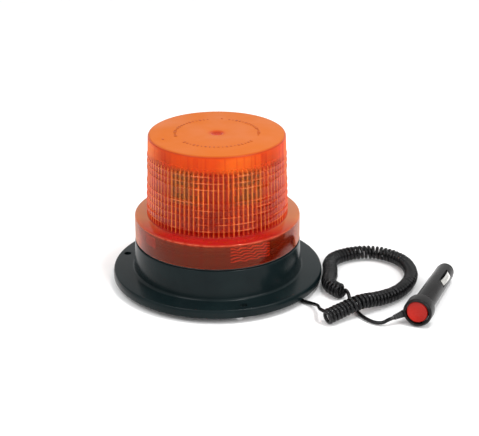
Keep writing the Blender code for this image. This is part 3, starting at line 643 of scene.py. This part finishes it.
BLACK_ABS = moulded(
    "black_abs", (0.003, 0.007, 0.008), (0.006, 0.012, 0.013), 0.15, 0.26, gloss=0.11
)
RUBBER = moulded(
    "black_rubber", (0.010, 0.010, 0.011), (0.020, 0.020, 0.021), 0.66, 0.84, 900, 0.05
)
WHITE = moulded("white_plastic", (0.70, 0.69, 0.66), (0.82, 0.81, 0.78), 0.38, 0.52)
RED_PANEL = moulded("red_panel", (0.42, 0.030, 0.018), (0.62, 0.060, 0.030), 0.28, 0.42)
ORANGE_PANEL = louvre_material("orange_panel")
SLEEVE = moulded("capacitor_sleeve", (0.02, 0.04, 0.10), (0.04, 0.07, 0.16), 0.28, 0.40)
CORE = moulded("ferrite_core", (0.05, 0.05, 0.055), (0.11, 0.11, 0.115), 0.5, 0.7, 1200, 0.05)
EPOXY = moulded("chip_epoxy", (0.014, 0.014, 0.016), (0.028, 0.028, 0.030), 0.4, 0.6, 3000, 0.02)
TERMINAL = moulded("terminal_green", (0.03, 0.20, 0.10), (0.07, 0.32, 0.17), 0.35, 0.5)
MAGNET = moulded("ferrite", (0.030, 0.029, 0.028), (0.060, 0.057, 0.055), 0.5, 0.7, 1500, 0.05)
PLUG_PLASTIC = moulded(
    "plug_plastic", (0.007, 0.007, 0.007), (0.014, 0.013, 0.013), 0.20, 0.34, gloss=0.10
)
GLASS = moulded("glass", (0.70, 0.74, 0.73), (0.85, 0.88, 0.87), 0.05, 0.12)
NICKEL = brushed_metal("nickel", (0.60, 0.59, 0.55), (0.86, 0.85, 0.82), 0.16, 0.32, (1, 1, 0.05))
ZINC = brushed_metal("zinc_steel", (0.42, 0.42, 0.40), (0.66, 0.66, 0.64), 0.28, 0.46, (1, 0.08, 1))
SPRING = brushed_metal(
    "spring_steel", (0.45, 0.45, 0.43), (0.70, 0.70, 0.68), 0.22, 0.36, (1, 1, 0.2)
)
AMBER = amber_material()
AMBER_MARK = moulded(
    "amber_mark", (0.26, 0.036, 0.005), (0.42, 0.070, 0.009), 0.3, 0.45, gloss=0.15
)
BOARD = board_material("green_board")
LED = led_material()
RED_BUTTON = red_button_material()
CORD = cord_material()


# ---- shapes


def polar(radius, degrees):
    angle = math.radians(degrees)
    return radius * math.cos(angle), radius * math.sin(angle)


def rotation(degrees, axis):
    return Matrix.Rotation(math.radians(degrees), 4, axis)


def rounded(profile, radius, pieces=4, closed=True):
    """The profile with each corner drawn as a curve that starts radius before it."""
    points = []
    count = len(profile)
    for i, corner in enumerate(profile):
        if not closed and i in (0, count - 1):
            points.append(corner)
            continue
        corner = Vector(corner)
        before = Vector(profile[i - 1]) - corner
        after = Vector(profile[(i + 1) % count]) - corner
        start = corner + before.normalized() * min(radius, before.length * 0.45)
        end = corner + after.normalized() * min(radius, after.length * 0.45)
        for step in range(pieces + 1):
            t = step / pieces
            points.append(tuple(start * (1 - t) ** 2 + corner * 2 * t * (1 - t) + end * t * t))
    return points


def revolve(name, profile, steps, ripple=None):
    """A turned mesh in metres from a (radius, z) profile that runs out over the top and down.

    ripple(radius, z, turn) gives the radius at a turn from 0 to 1, for ribs.
    """
    shape = bmesh.new()
    rows = []
    for radius, z in profile:
        if radius < 1e-6:
            rows.append([shape.verts.new((0, 0, z * MM))] * steps)
            continue
        row = []
        for i in range(steps):
            reach = ripple(radius, z, i / steps) if ripple else radius
            x, y = polar(reach * MM, 360 * i / steps)
            row.append(shape.verts.new((x, y, z * MM)))
        rows.append(row)
    pairs = list(zip(rows, rows[1:]))
    if profile[0][0] > 1e-6:
        pairs.append((rows[-1], rows[0]))
    for upper, lower in pairs:
        for i in range(steps):
            j = (i + 1) % steps
            corners = dict.fromkeys((upper[i], upper[j], lower[j], lower[i]))
            if len(corners) > 2:
                shape.faces.new(tuple(corners))
    return finish_mesh(name, shape)


def finish_mesh(name, shape):
    """The object made of a bmesh, smooth except at its sharp edges."""
    bmesh.ops.recalc_face_normals(shape, faces=shape.faces)
    mesh = bpy.data.meshes.new(name)
    shape.to_mesh(mesh)
    shape.free()
    mesh.shade_smooth()
    mesh.set_sharp_from_angle(angle=math.radians(SHARP_DEGREES))
    return add_object(name, mesh)


def box_mesh(name, size, centre, edge=0.0, turn=0.0):
    """A box with rounded edges, turned about the vertical through its own middle."""
    shape = bmesh.new()
    scale = Matrix.Diagonal((*(Vector(size) * MM), 1.0))
    move = Matrix.Translation(Vector(centre) * MM) @ rotation(turn, "Z")
    bmesh.ops.create_cube(shape, size=1.0, matrix=move @ scale)
    if edge:
        how = {"segments": 3, "profile": 0.5, "affect": "EDGES"}
        bmesh.ops.bevel(shape, geom=shape.edges[:], offset=edge * MM, **how)
    return finish_mesh(name, shape)


def evaluated_mesh(obj):
    """A new mesh of the object as its modifiers or its curve settings make it."""
    bpy.context.view_layer.update()
    graph = bpy.context.evaluated_depsgraph_get()
    return bpy.data.meshes.new_from_object(obj.evaluated_get(graph))


def cut(obj, cutters, operation="DIFFERENCE"):
    """Booleans applied to obj, and the cutters removed."""
    for cutter in cutters:
        boolean = obj.modifiers.new("Cut", "BOOLEAN")
        boolean.operation = operation
        boolean.solver = "EXACT"
        boolean.object = cutter
    mesh = evaluated_mesh(obj)
    obj.modifiers.clear()
    obj.data = mesh
    mesh.shade_smooth()
    mesh.set_sharp_from_angle(angle=math.radians(SHARP_DEGREES))
    for cutter in cutters:
        bpy.data.objects.remove(cutter, do_unlink=True)


def settle(obj, body, material, nodes=(), place=None):
    """Gives a piece its material and place, hangs it on the body it rides on, and hides the CAD
    nodes it stands for.
    """
    obj.data.materials.clear()
    obj.data.materials.append(material)
    if place:
        obj.matrix_world = place
    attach(obj, body)
    if nodes:
        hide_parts(*nodes)
    return obj


def dress(name, material):
    """A carried-over CAD node gets its material."""
    obj = frame["nodes"][name]
    for slot in obj.material_slots:
        slot.link = "OBJECT"
        slot.material = material


def smooth_route(route, pieces=10):
    """Close points on a smooth curve through the route's own points."""
    route = [Vector(point) for point in route]
    ends = [2 * route[0] - route[1], *route, 2 * route[-1] - route[-2]]
    points = []
    for before, start, end, after in zip(ends, ends[1:], ends[2:], ends[3:]):
        for i in range(pieces):
            t = i / pieces
            bend = (2 * before - 5 * start + 4 * end - after) * t * t
            twist = (3 * start - before - 3 * end + after) * t**3
            points.append((2 * start + (end - before) * t + bend + twist) / 2)
    points.append(route[-1])
    return points


def tube(name, points, radius):
    """A round wire or cord along the points."""
    curve = bpy.data.curves.new(name, "CURVE")
    curve.dimensions = "3D"
    curve.bevel_depth = radius * MM
    curve.bevel_resolution = 4
    curve.use_fill_caps = True
    spline = curve.splines.new("POLY")
    spline.points.add(len(points) - 1)
    for target, point in zip(spline.points, points):
        target.co = (*(Vector(point) * MM), 1.0)
    spline.use_smooth = True
    return add_object(name, curve)


# ---- lens


def dome_radius(z):
    return DOME_RADIUS + (DOME_TOP_RADIUS - DOME_RADIUS) * (z - SHOULDER) / (TOP - SHOULDER)


def lens_outside():
    """From the dimple in the top disc down over the rings, the shoulder and the skirt."""
    points = [(0, TOP - 1.15), (1.6, TOP - 1.1), (3.0, TOP - 0.7), (4.0, TOP - 0.15), (4.8, TOP)]
    points += [(14.0, TOP), (DOME_TOP_RADIUS - 1.6, TOP), (DOME_TOP_RADIUS - 0.9, TOP - 0.12)]
    points += [(DOME_TOP_RADIUS - 0.35, TOP - 0.45), (DOME_TOP_RADIUS, TOP - 1.2)]
    for z in RINGS:
        for rise, proud in RING_SECTION:
            points.append((dome_radius(z + rise) + proud, z + rise))
    points += [(DOME_RADIUS, SHOULDER + 0.5), (DOME_RADIUS + 0.15, SHOULDER + 0.12)]
    points += [(DOME_RADIUS + 0.6, SHOULDER), (SKIRT_RADIUS - 1.1, SHOULDER)]
    points += [(SKIRT_RADIUS - 0.45, SHOULDER - 0.18), (SKIRT_RADIUS - 0.1, SHOULDER - 0.55)]
    points += [(SKIRT_RADIUS, SHOULDER - 1.1), (SKIRT_RADIUS, SKIRT_BOTTOM + 0.3)]
    points.append((SKIRT_RADIUS - 0.3, SKIRT_BOTTOM))
    return points


def lens_inside():
    """From the skirt's foot up its inside, under the shoulder, up the ribs, to the middle."""
    skirt = SKIRT_RADIUS - LENS_WALL
    under = SHOULDER - LENS_WALL
    bore = DOME_TOP_RADIUS - 2.6
    points = [(skirt, SKIRT_BOTTOM), (skirt, under - 0.5), (skirt - 0.5, under)]
    points += [(bore + 0.5, under), (bore, under + 0.5), (bore, RIB_LOW - 0.1)]
    points += [(dome_radius(RIB_LOW) - 1.9, RIB_LOW), (dome_radius(RIB_HIGH) - 1.5, RIB_HIGH)]
    points += [(bore, RIB_HIGH + 0.1), (bore, TOP - 3.0), (bore - 0.6, TOP - 2.4), (0, TOP - 2.4)]
    return points


def rib_ripple(radius, z, turn):
    """Convex ribs that stand in from the dome's inner wall."""
    inside = radius < dome_radius(z) - 1.0 and RIB_LOW <= z <= RIB_HIGH
    if not inside:
        return radius
    return radius - RIB_DEPTH * abs(math.sin(math.pi * RIB_COUNT * turn))


def make_lens():
    profile = lens_outside() + lens_inside()
    lens = revolve("lens", profile, RIB_COUNT * POINTS_PER_RIB, rib_ripple)
    settle(lens, "lens", AMBER, ["amber_lens"])


def make_marks():
    """A ring of small moulded marks, of no meaning, and two dots on the top disc."""
    shape = bmesh.new()
    bars = []
    for start, end in MARK_ARCS:
        count = round((end - start) / MARK_STEP)
        for i in range(count + 1):
            width = 0.75 + 0.35 * math.sin(i * 2.3 + start)
            height = 1.5 + 0.5 * math.cos(i * 1.7 + start)
            bars.append((MARK_RADIUS, start + (end - start) * i / count, height, width))
    bars += [(radius, angle, size, size) for radius, angle, size in MARK_DOTS]
    for radius, angle, height, width in bars:
        size = Matrix.Diagonal((height * MM, width * MM, MARK_THICKNESS * MM, 1.0))
        move = Matrix.Translation(Vector((*polar(radius, angle), TOP)) * MM)
        turn = rotation(angle, "Z")
        bmesh.ops.create_cube(shape, size=1.0, matrix=move @ turn @ size)
    marks = finish_mesh("top_marks", shape)
    settle(marks, "lens", AMBER_MARK)


# ---- base


def housing_profile():
    flange_under = FLANGE_TOP - 2.4
    root = WALL_RADIUS + 2.2
    profile = [(SPIGOT_BORE, SPIGOT_TOP), (SPIGOT_RADIUS, SPIGOT_TOP)]
    for z in SPIGOT_RIDGES:
        profile += [(SPIGOT_RADIUS, z + 0.5), (SPIGOT_RADIUS + 0.4, z), (SPIGOT_RADIUS, z - 0.5)]
    profile += [
        (SPIGOT_RADIUS, WALL_TOP), (WALL_TOP_RADIUS, WALL_TOP),
        (WALL_RADIUS, FLANGE_TOP + 0.9), (WALL_RADIUS + 0.9, FLANGE_TOP),
        (FLANGE_RADIUS - 0.6, FLANGE_TOP), (FLANGE_RADIUS, FLANGE_TOP - 1.9),
        (FLANGE_RADIUS, RIM_BOTTOM), (FLANGE_RADIUS - 2.4, RIM_BOTTOM),
        (FLANGE_RADIUS - 2.4, flange_under), (root, flange_under),
        (root, RIM_BOTTOM), (WALL_RADIUS - 2.4, RIM_BOTTOM),
        (WALL_RADIUS - 2.4, DECK_LOW), (3.3, DECK_LOW),
        (3.3, DECK_TOP), (WALL_RADIUS - 3.0, DECK_TOP),
        (WALL_RADIUS - 3.0, WALL_TOP - 2.2), (SPIGOT_BORE, WALL_TOP - 2.2),
    ]
    return rounded(profile, 0.6, 3)


def upright(name, radius, low, high, x, y, steps=32):
    """A plain upright cylinder, for a cut."""
    rod = revolve(name, [(0, high), (radius, high), (radius, low), (0, low)], steps)
    rod.data.transform(Matrix.Translation((x * MM, y * MM, 0)))
    return rod


def make_housing():
    housing = revolve("housing", housing_profile(), 192)
    cutters = []
    for angle in HOLE_ANGLES:
        place = polar(HOLE_CIRCLE, angle)
        cutters.append(upright("hole", HOLE_RADIUS, RIM_BOTTOM, FLANGE_TOP + 2, *place))
    notch_centre = (*polar(51.5, CORD_ANGLE), CORD_EXIT_Z)
    cutters.append(box_mesh("notch", (9.0, 5.0, 5.0), notch_centre, 0.8, CORD_ANGLE))
    cutters.append(upright("passage", 2.2, DECK_LOW - 2, DECK_TOP + 2, *polar(45.4, CORD_ANGLE)))
    cut(housing, cutters)
    settle(housing, "base", BLACK_ABS, ["base_housing"])


def make_gasket():
    low, high = extent("lens_gasket")
    outer = [(high[0], high[2]), (high[0], low[2])]
    profile = [(GASKET_BORE, high[2]), *outer, (GASKET_BORE, low[2])]
    gasket = revolve("gasket", rounded(profile, 0.2, 3), 192)
    settle(gasket, "base", RUBBER, ["lens_gasket"])


def make_pad():
    """The rubber foot, with fine rings moulded into its underside."""
    radius = PAD_HIGH[0]
    high = PAD_HIGH[2]
    under = [(0, 0)]
    for ring in range(1, PAD_RINGS + 1):
        middle = ring * PAD_RING_SPACING
        under += [(middle - 0.5, 0), (middle - 0.2, 0.35), (middle + 0.2, 0.35), (middle + 0.5, 0)]
    profile = [(0, high), (radius - 0.4, high), (radius, high - 0.5)]
    profile += [(radius, 0.5), (radius - 0.4, 0)]
    pad = revolve("foot_pad", profile + under[::-1], 144)
    settle(pad, "base", RUBBER, ["magnet_pad"])


def outward_turn(angle):
    """A turn that lays a piece's Z outwards from the beacon's axis, at the angle."""
    lay = rotation(90, "Y")
    return rotation(angle, "Z") @ lay


def make_grommet():
    low, high = GROMMET_ENDS
    half = (high - low) / 2
    profile = [
        (0, half), (2.3, half),
        (2.3, half - 1.0), (2.1, half - 1.0),
        (2.1, -half + 2.0), (2.9, -half + 2.0),
        (2.9, -half), (0, -half),
    ]
    grommet = revolve("grommet", rounded(profile, 0.25, 3, closed=False), 40)
    middle = Vector((*polar(low + half, CORD_ANGLE), CORD_EXIT_Z))
    place = Matrix.Translation(middle * MM) @ outward_turn(CORD_ANGLE)
    settle(grommet, "base", RUBBER, ["cord_grommet"], place)


# ---- what shows through the lens


def arc_panel(name, inner, height_low, height_high, start, end, relief, columns=90, rows=72):
    """A curved plate whose outer face follows relief(along, up), both from 0 to 1."""
    shape = bmesh.new()
    front = []
    back = []
    for i in range(columns + 1):
        angle = start + (end - start) * i / columns
        front.append([])
        back.append([])
        for j in range(rows + 1):
            z = height_low + (height_high - height_low) * j / rows
            reach = inner + 0.35 + relief(i / columns, j / rows)
            front[i].append(shape.verts.new(Vector((*polar(reach, angle), z)) * MM))
            back[i].append(shape.verts.new(Vector((*polar(inner, angle), z)) * MM))
    for i in range(columns):
        for j in range(rows):
            shape.faces.new((front[i][j], front[i + 1][j], front[i + 1][j + 1], front[i][j + 1]))
            shape.faces.new((back[i][j], back[i][j + 1], back[i + 1][j + 1], back[i + 1][j]))
    for j in range(rows):
        shape.faces.new((front[0][j], front[0][j + 1], back[0][j + 1], back[0][j]))
        shape.faces.new((front[-1][j], back[-1][j], back[-1][j + 1], front[-1][j + 1]))
    for i in range(columns):
        shape.faces.new((front[i][0], back[i][0], back[i + 1][0], front[i + 1][0]))
        shape.faces.new((front[i][-1], front[i + 1][-1], back[i + 1][-1], back[i][-1]))
    return finish_mesh(name, shape)


def wavy_louvres(along, up):
    """Louvres that wave along the panel."""
    wave = 0.24 * math.sin(along * math.tau * 3.5 + up * 5) + 0.1 * math.sin(along * 41 + up * 9)
    return LOUVRE_DEPTH * max(0.0, math.sin((up * LOUVRES + wave) * math.tau)) ** 0.6


def flat_field(along, up):
    """A shallow raised field inside a border."""
    edge = min(along, 1 - along, up, 1 - up)
    return 0.3 * min(1.0, max(0.0, (edge - 0.08) * 20))


def make_panels():
    inner = SPIGOT_RADIUS + 0.45
    louvred = arc_panel("louvred_panel", inner - 0.3, *LOUVRED_PANEL, wavy_louvres)
    settle(louvred, "base", ORANGE_PANEL, ["warning_panel"])
    plain = arc_panel("field_panel", inner, *FIELD_PANEL, flat_field, 30, 20)
    settle(plain, "base", RED_PANEL, ["plain_panel"])


def make_inside():
    """The column, the drum and the tray that the lens shows, with moulded edges."""
    low, high = extent("light_column")
    column = [
        (0, high[2]), (8.0, high[2]),
        (7.6, low[2] + 6.0), (9.0, low[2] + 2.5),
        (15.0, low[2] + 2.5), (15.0, low[2]),
        (0, low[2]),
    ]
    made = revolve("column", rounded(column, 0.8, 4, closed=False), 64)
    settle(made, "base", WHITE, ["light_column"])
    low, high = extent("reflector_tray")
    tray = [
        (9.0, high[2]), (10.4, high[2] - 0.4),
        (14.0, low[2] + 1.4), (high[0] - 0.6, low[2] + 1.4),
        (high[0], low[2] + 2.6), (high[0], low[2]),
        (9.0, low[2]),
    ]
    made = revolve("tray", rounded(tray, 0.5, 3), 128)
    settle(made, "base", RED_PANEL, ["reflector_tray"])
    low, high = extent("light_drum")
    profile = [(0, high[2]), (DRUM_RADIUS, high[2]), (DRUM_RADIUS, low[2]), (0, low[2])]
    drum = revolve("drum", rounded(profile, 0.6, 3, False), 6)
    drum.data.transform(rotation(30, "Z"))
    drum.data.shade_flat()
    settle(drum, "base", WHITE, ["light_drum"])


def led_mesh(name):
    """A square package with a round dome on it, its Z pointing outwards."""
    package = box_mesh(name, (4.6, 4.6, 0.55), (0, 0, 0.28), 0.12)
    dome = [(0, 1.25), (0.6, 1.2), (1.2, 1.02), (1.65, 0.75), (1.8, 0.5), (1.8, 0.2), (0, 0.2)]
    lens = revolve("dome", dome, 32)
    cut(package, [lens], "UNION")
    return package


def make_leds():
    for number in range(1, 7):
        for side in "ab":
            node_name = f"led_{number}{side}"
            low, high = extent(node_name)
            middle = (Vector(low) + Vector(high)) / 2
            angle = 60.0 * (number - 1)
            outward = Vector((*polar(0.5, angle), 0))
            place = Matrix.Translation((middle - outward) * MM) @ outward_turn(angle)
            emitter = led_mesh(f"emitter_{number}{side}")
            settle(emitter, "base", LED, [node_name], place)


# ---- plug


def plug_place():
    """The plug's axes, from its joints: the tip slides along -Z, the switch rocks about X."""
    along = -Vector(JOINTS["tip_press"]["axis"])
    across = Vector(JOINTS["switch_rock"]["axis"])
    turn = Matrix((across, along.cross(across), along)).transposed().to_4x4()
    origin = Vector(JOINTS["switch_rock"]["pos_m"]) - along * SWITCH_PIVOT * MM
    return Matrix.Translation(origin) @ turn


def nozzle_axis():
    """The nozzle's root and direction in the plug's axes."""
    turn = math.radians(NOZZLE_TURN)
    side = Vector((-math.cos(turn), -math.sin(turn), 0))
    lean = math.radians(NOZZLE_LEAN)
    direction = side * math.cos(lean) - Vector((0, 0, 1)) * math.sin(lean)
    return side * NOZZLE_ROOT_RADIUS + Vector((0, 0, NOZZLE_ROOT_Z)), direction


def on_nozzle(distance):
    root, direction = nozzle_axis()
    turn = direction.to_track_quat("Z", "Y").to_matrix().to_4x4()
    return Matrix.Translation((root + direction * distance) * MM) @ turn


def make_collar(place):
    profile = [
        (COLLAR_BORE, COLLAR_LENGTH), (COLLAR_RADIUS, COLLAR_LENGTH),
        (COLLAR_RADIUS, 1.0), (COLLAR_RADIUS - 0.9, 0),
        (COLLAR_BORE + 0.2, 0), (COLLAR_BORE, 0.4),
    ]
    collar = revolve("collar", rounded(profile, 0.5, 4), 96)
    profile = [(0, NOZZLE_LENGTH), (2.2, NOZZLE_LENGTH), (2.2, 0), (0, 0)]
    nozzle = revolve("nozzle", rounded(profile, 0.4, 3, False), 40)
    nozzle.data.transform(on_nozzle(0))
    cut(collar, [nozzle], "UNION")
    bore = upright("bore", COLLAR_BORE - 0.02, -1, COLLAR_LENGTH + 1, 0, 0, 96)
    cut(collar, [bore])
    settle(collar, "base", PLUG_PLASTIC, ["plug_collar"], place)
    profile = [(0, BUSH_LENGTH), (1.4, BUSH_LENGTH)]
    for rib in range(4):
        z = BUSH_LENGTH - 0.9 - rib * 1.3
        radius = 1.6 + 0.12 * rib
        profile += [(radius, z + 0.4), (radius, z - 0.3)]
        profile += [(radius - 0.25, z - 0.4), (radius - 0.2, z - 0.8)]
    profile += [(2.0, 0.4), (2.0, 0), (0, 0)]
    bush = revolve("bush", rounded(profile, 0.12, 2, closed=False), 48)
    at = place @ on_nozzle(NOZZLE_LENGTH + GAP)
    settle(bush, "base", RUBBER, ["cord_bush"], at)


def make_barrel(place):
    start = COLLAR_LENGTH + GAP
    profile = [
        (FUSE_BORE, BARREL_END), (BARREL_END_RADIUS, BARREL_END),
        (BARREL_RADIUS, start), (BARREL_BORE, start),
        (BARREL_BORE, 20.0), (FUSE_BORE, 20.0),
    ]
    barrel = revolve("barrel", rounded(profile, 0.35, 4), 96)
    for side in (1, -1):
        centre = (side * (SLOT_FLOOR + 2.0), 0, CONTACT_MIDDLE)
        cut(barrel, [box_mesh("slot", (4.0, 5.2, 19.0), centre, 0.4)])
    settle(barrel, "base", PLUG_PLASTIC, ["plug_barrel"], place)
    profile = [
        (2.8, NOSE_END), (4.0, NOSE_END),
        (5.1, NOSE_END - 1.0), (5.5, NOSE_END - 2.4),
        (5.5, BARREL_END + GAP), (2.8, BARREL_END + GAP),
    ]
    nose = revolve("nose", rounded(profile, 0.5, 4), 96)
    settle(nose, "base", PLUG_PLASTIC, ["plug_nose"], place)


def make_switch(place):
    edge = SWITCH_RADIUS
    profile = [(0, -2.1), (edge - 0.3, -2.1), (edge, -2.6), (edge, -4.2), (edge - 0.5, -4.7)]
    profile += [(edge - 1.2, -4.5), (2.6, -4.15), (0, -4.05)]
    rocker = revolve("rocker", rounded(profile, 0.3, 3, closed=False), 80)
    tilt = rotation(SWITCH_REST_TILT, "X")
    pivot = Matrix.Translation((0, 0, SWITCH_PIVOT * MM))
    settle(rocker, "switch", RED_BUTTON, ["switch_rocker"], place @ pivot @ tilt)


def make_tip(place):
    profile = [(0, TIP_END), (1.3, TIP_END - 0.1), (2.1, TIP_END - 0.7), (2.4, TIP_END - 1.5)]
    profile += [(2.4, FUSE_END + 2.0), (3.2, FUSE_END + 2.0), (3.2, FUSE_END + GAP)]
    profile.append((0, FUSE_END + GAP))
    tip = revolve("tip_pin", rounded(profile, 0.15, 3, closed=False), 48)
    settle(tip, "tip", NICKEL, ["tip_contact"], place)


def make_spring(place):
    """The fuse's spring, at rest; the real one shortens as the tip is pressed."""
    length = SPRING_HIGH - SPRING_LOW
    count = SPRING_TURNS * POINTS_PER_TURN
    points = []
    for i in range(count + 1):
        share = i / count
        turn = 360 * SPRING_TURNS * share
        points.append((*polar(SPRING_RADIUS, turn), SPRING_LOW + length * share))
    wire = tube("spring_wire", points, SPRING_WIRE)
    mesh = evaluated_mesh(wire)
    bpy.data.objects.remove(wire, do_unlink=True)
    spring = add_object("spring", mesh)
    settle(spring, "base", SPRING, ["fuse_spring"], place)
    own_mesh(spring)


def make_side_contact(place, side, node_name, body):
    """A bowed strip of the real thickness with rolled edges."""
    line = smooth_route([(x, 0, CONTACT_MIDDLE + z) for x, z in CONTACT_BOW], 6)
    half = CONTACT_HALF_WIDTH
    section = [(-half, 0.5), (0.3 - half, 1), (half - 0.3, 1), (half, 0.5)]
    section += [(across, -lift) for across, lift in reversed(section)]
    shape = bmesh.new()
    rows = []
    for i, point in enumerate(line):
        ahead = line[min(i + 1, len(line) - 1)] - line[max(i - 1, 0)]
        out = Vector((ahead.z, 0, -ahead.x)).normalized() * CONTACT_HALF_THICK
        row = []
        for across, lift in section:
            corner = point + out * lift + Vector((0, across, 0))
            row.append(shape.verts.new(Vector((corner.x * side, corner.y, corner.z)) * MM))
        rows.append(row)
    for lower, upper in zip(rows, rows[1:]):
        for i in range(len(section)):
            shape.faces.new((lower[i], lower[i - 1], upper[i - 1], upper[i]))
    shape.faces.new(rows[0])
    shape.faces.new(rows[-1][::-1])
    strip = finish_mesh(f"strip_{body}", shape)
    settle(strip, body, NICKEL, [node_name], place)


# ---- cord


def helix_points():
    """The coil's turns round its own route, clockwise seen along it."""
    line = smooth_route(COIL_ROUTE, 40)
    first = (line[1] - line[0]).normalized()
    last = (line[-1] - line[-2]).normalized()
    line = [line[0] - first * COIL_OVERHANG, *line, line[-1] + last * COIL_OVERHANG]
    reach = [0.0]
    for a, b in zip(line, line[1:]):
        reach.append(reach[-1] + (b - a).length)
    turns = round(reach[-1] / COIL_PITCH) + (LAST_TURN_ANGLE - FIRST_TURN_ANGLE) / 360
    count = round(turns * POINTS_PER_TURN)
    points = []
    index = 0
    for i in range(count + 1):
        walked = reach[-1] * i / count
        while index < len(line) - 2 and reach[index + 1] < walked:
            index += 1
        share = (walked - reach[index]) / (reach[index + 1] - reach[index])
        centre = line[index].lerp(line[index + 1], share)
        before = line[max(index - 12, 0)]
        after = line[min(index + 13, len(line) - 1)]
        along = (after - before).normalized()
        right = along.cross(Vector((0, 0, 1))).normalized()
        up = right.cross(along)
        angle = math.radians(FIRST_TURN_ANGLE) + math.tau * turns * i / count
        slack = math.cos(math.tau * i / count)
        radius = COIL_MEAN_RADIUS + COIL_TAPER * (slack - 0.5) / 1.5
        radius += COIL_SCATTER * math.sin(angle * 0.37)
        lean = along * COIL_SCATTER * math.sin(angle * 0.53 + 1.0)
        spoke = up * math.cos(angle) + right * math.sin(angle)
        points.append(centre + spoke * radius + lean)
    return points


def tail_ends(place):
    """In line with the bush, then just off its outer face."""
    root, direction = nozzle_axis()
    reach = NOZZLE_LENGTH + GAP + BUSH_LENGTH
    return [place @ ((root + direction * (reach + out)) * MM) / MM for out in (3.5, 0.1)]


def make_cord(place):
    coil = helix_points()
    lead = smooth_route((*LEAD_ROUTE, coil[0], coil[1]), 8)[:-9]
    tail = smooth_route((coil[-2], coil[-1], *TAIL_ROUTE, *tail_ends(place)), 8)[9:]
    points = lead + coil + tail
    length = sum((b - a).length for a, b in zip(points, points[1:]))
    cord = tube("cord", points, CORD_DIAMETER / 2)
    settle(cord, "base", CORD, ["cord_lead", "cord_coil", "cord_tail"])
    print("cord length in metres", round(length * MM, 3))
    return cord


def declare_cord(cord):
    names = ["bush", "collar", "barrel", "nose", "rocker", "tip_pin", "spring"]
    names += ["strip_contact_right", "strip_contact_left"]
    carried = ["switch_body", "plug_fuse"]
    pieces = [bpy.data.objects[name] for name in names]
    pieces += [frame["nodes"][name] for name in carried]


make_lens()
make_marks()
make_housing()
make_gasket()
make_pad()
make_grommet()
make_panels()
make_inside()
make_leds()
PLUG = plug_place()
make_collar(PLUG)
make_barrel(PLUG)
make_switch(PLUG)
make_tip(PLUG)
make_spring(PLUG)
make_side_contact(PLUG, 1, "side_contact_right", "contact_right")
make_side_contact(PLUG, -1, "side_contact_left", "contact_left")
declare_cord(make_cord(PLUG))

# CAD nodes that are shown as they are, by the material that each gets.
CARRIED = (
    (ZINC, ("magnet_cup", "magnet_bolt", "magnet_washer", "drum_screw")),
    (ZINC, ("board_screw_1", "board_screw_2", "board_screw_3")),
    (BOARD, ["driver_board"] + [f"led_board_{number}" for number in range(1, 7)]),
    (SLEEVE, ("capacitor_1", "capacitor_2")),
    (MAGNET, ("ring_magnet",)),
    (CORD, ("inner_lead",)),
    (TERMINAL, ("terminal_block",)),
    (CORE, ("inductor",)),
    (EPOXY, ("driver_chip",)),
    (PLUG_PLASTIC, ("switch_body",)),
    (GLASS, ("plug_fuse",)),
)
for material, node_names in CARRIED:
    for node_name in node_names:
        dress(node_name, material)
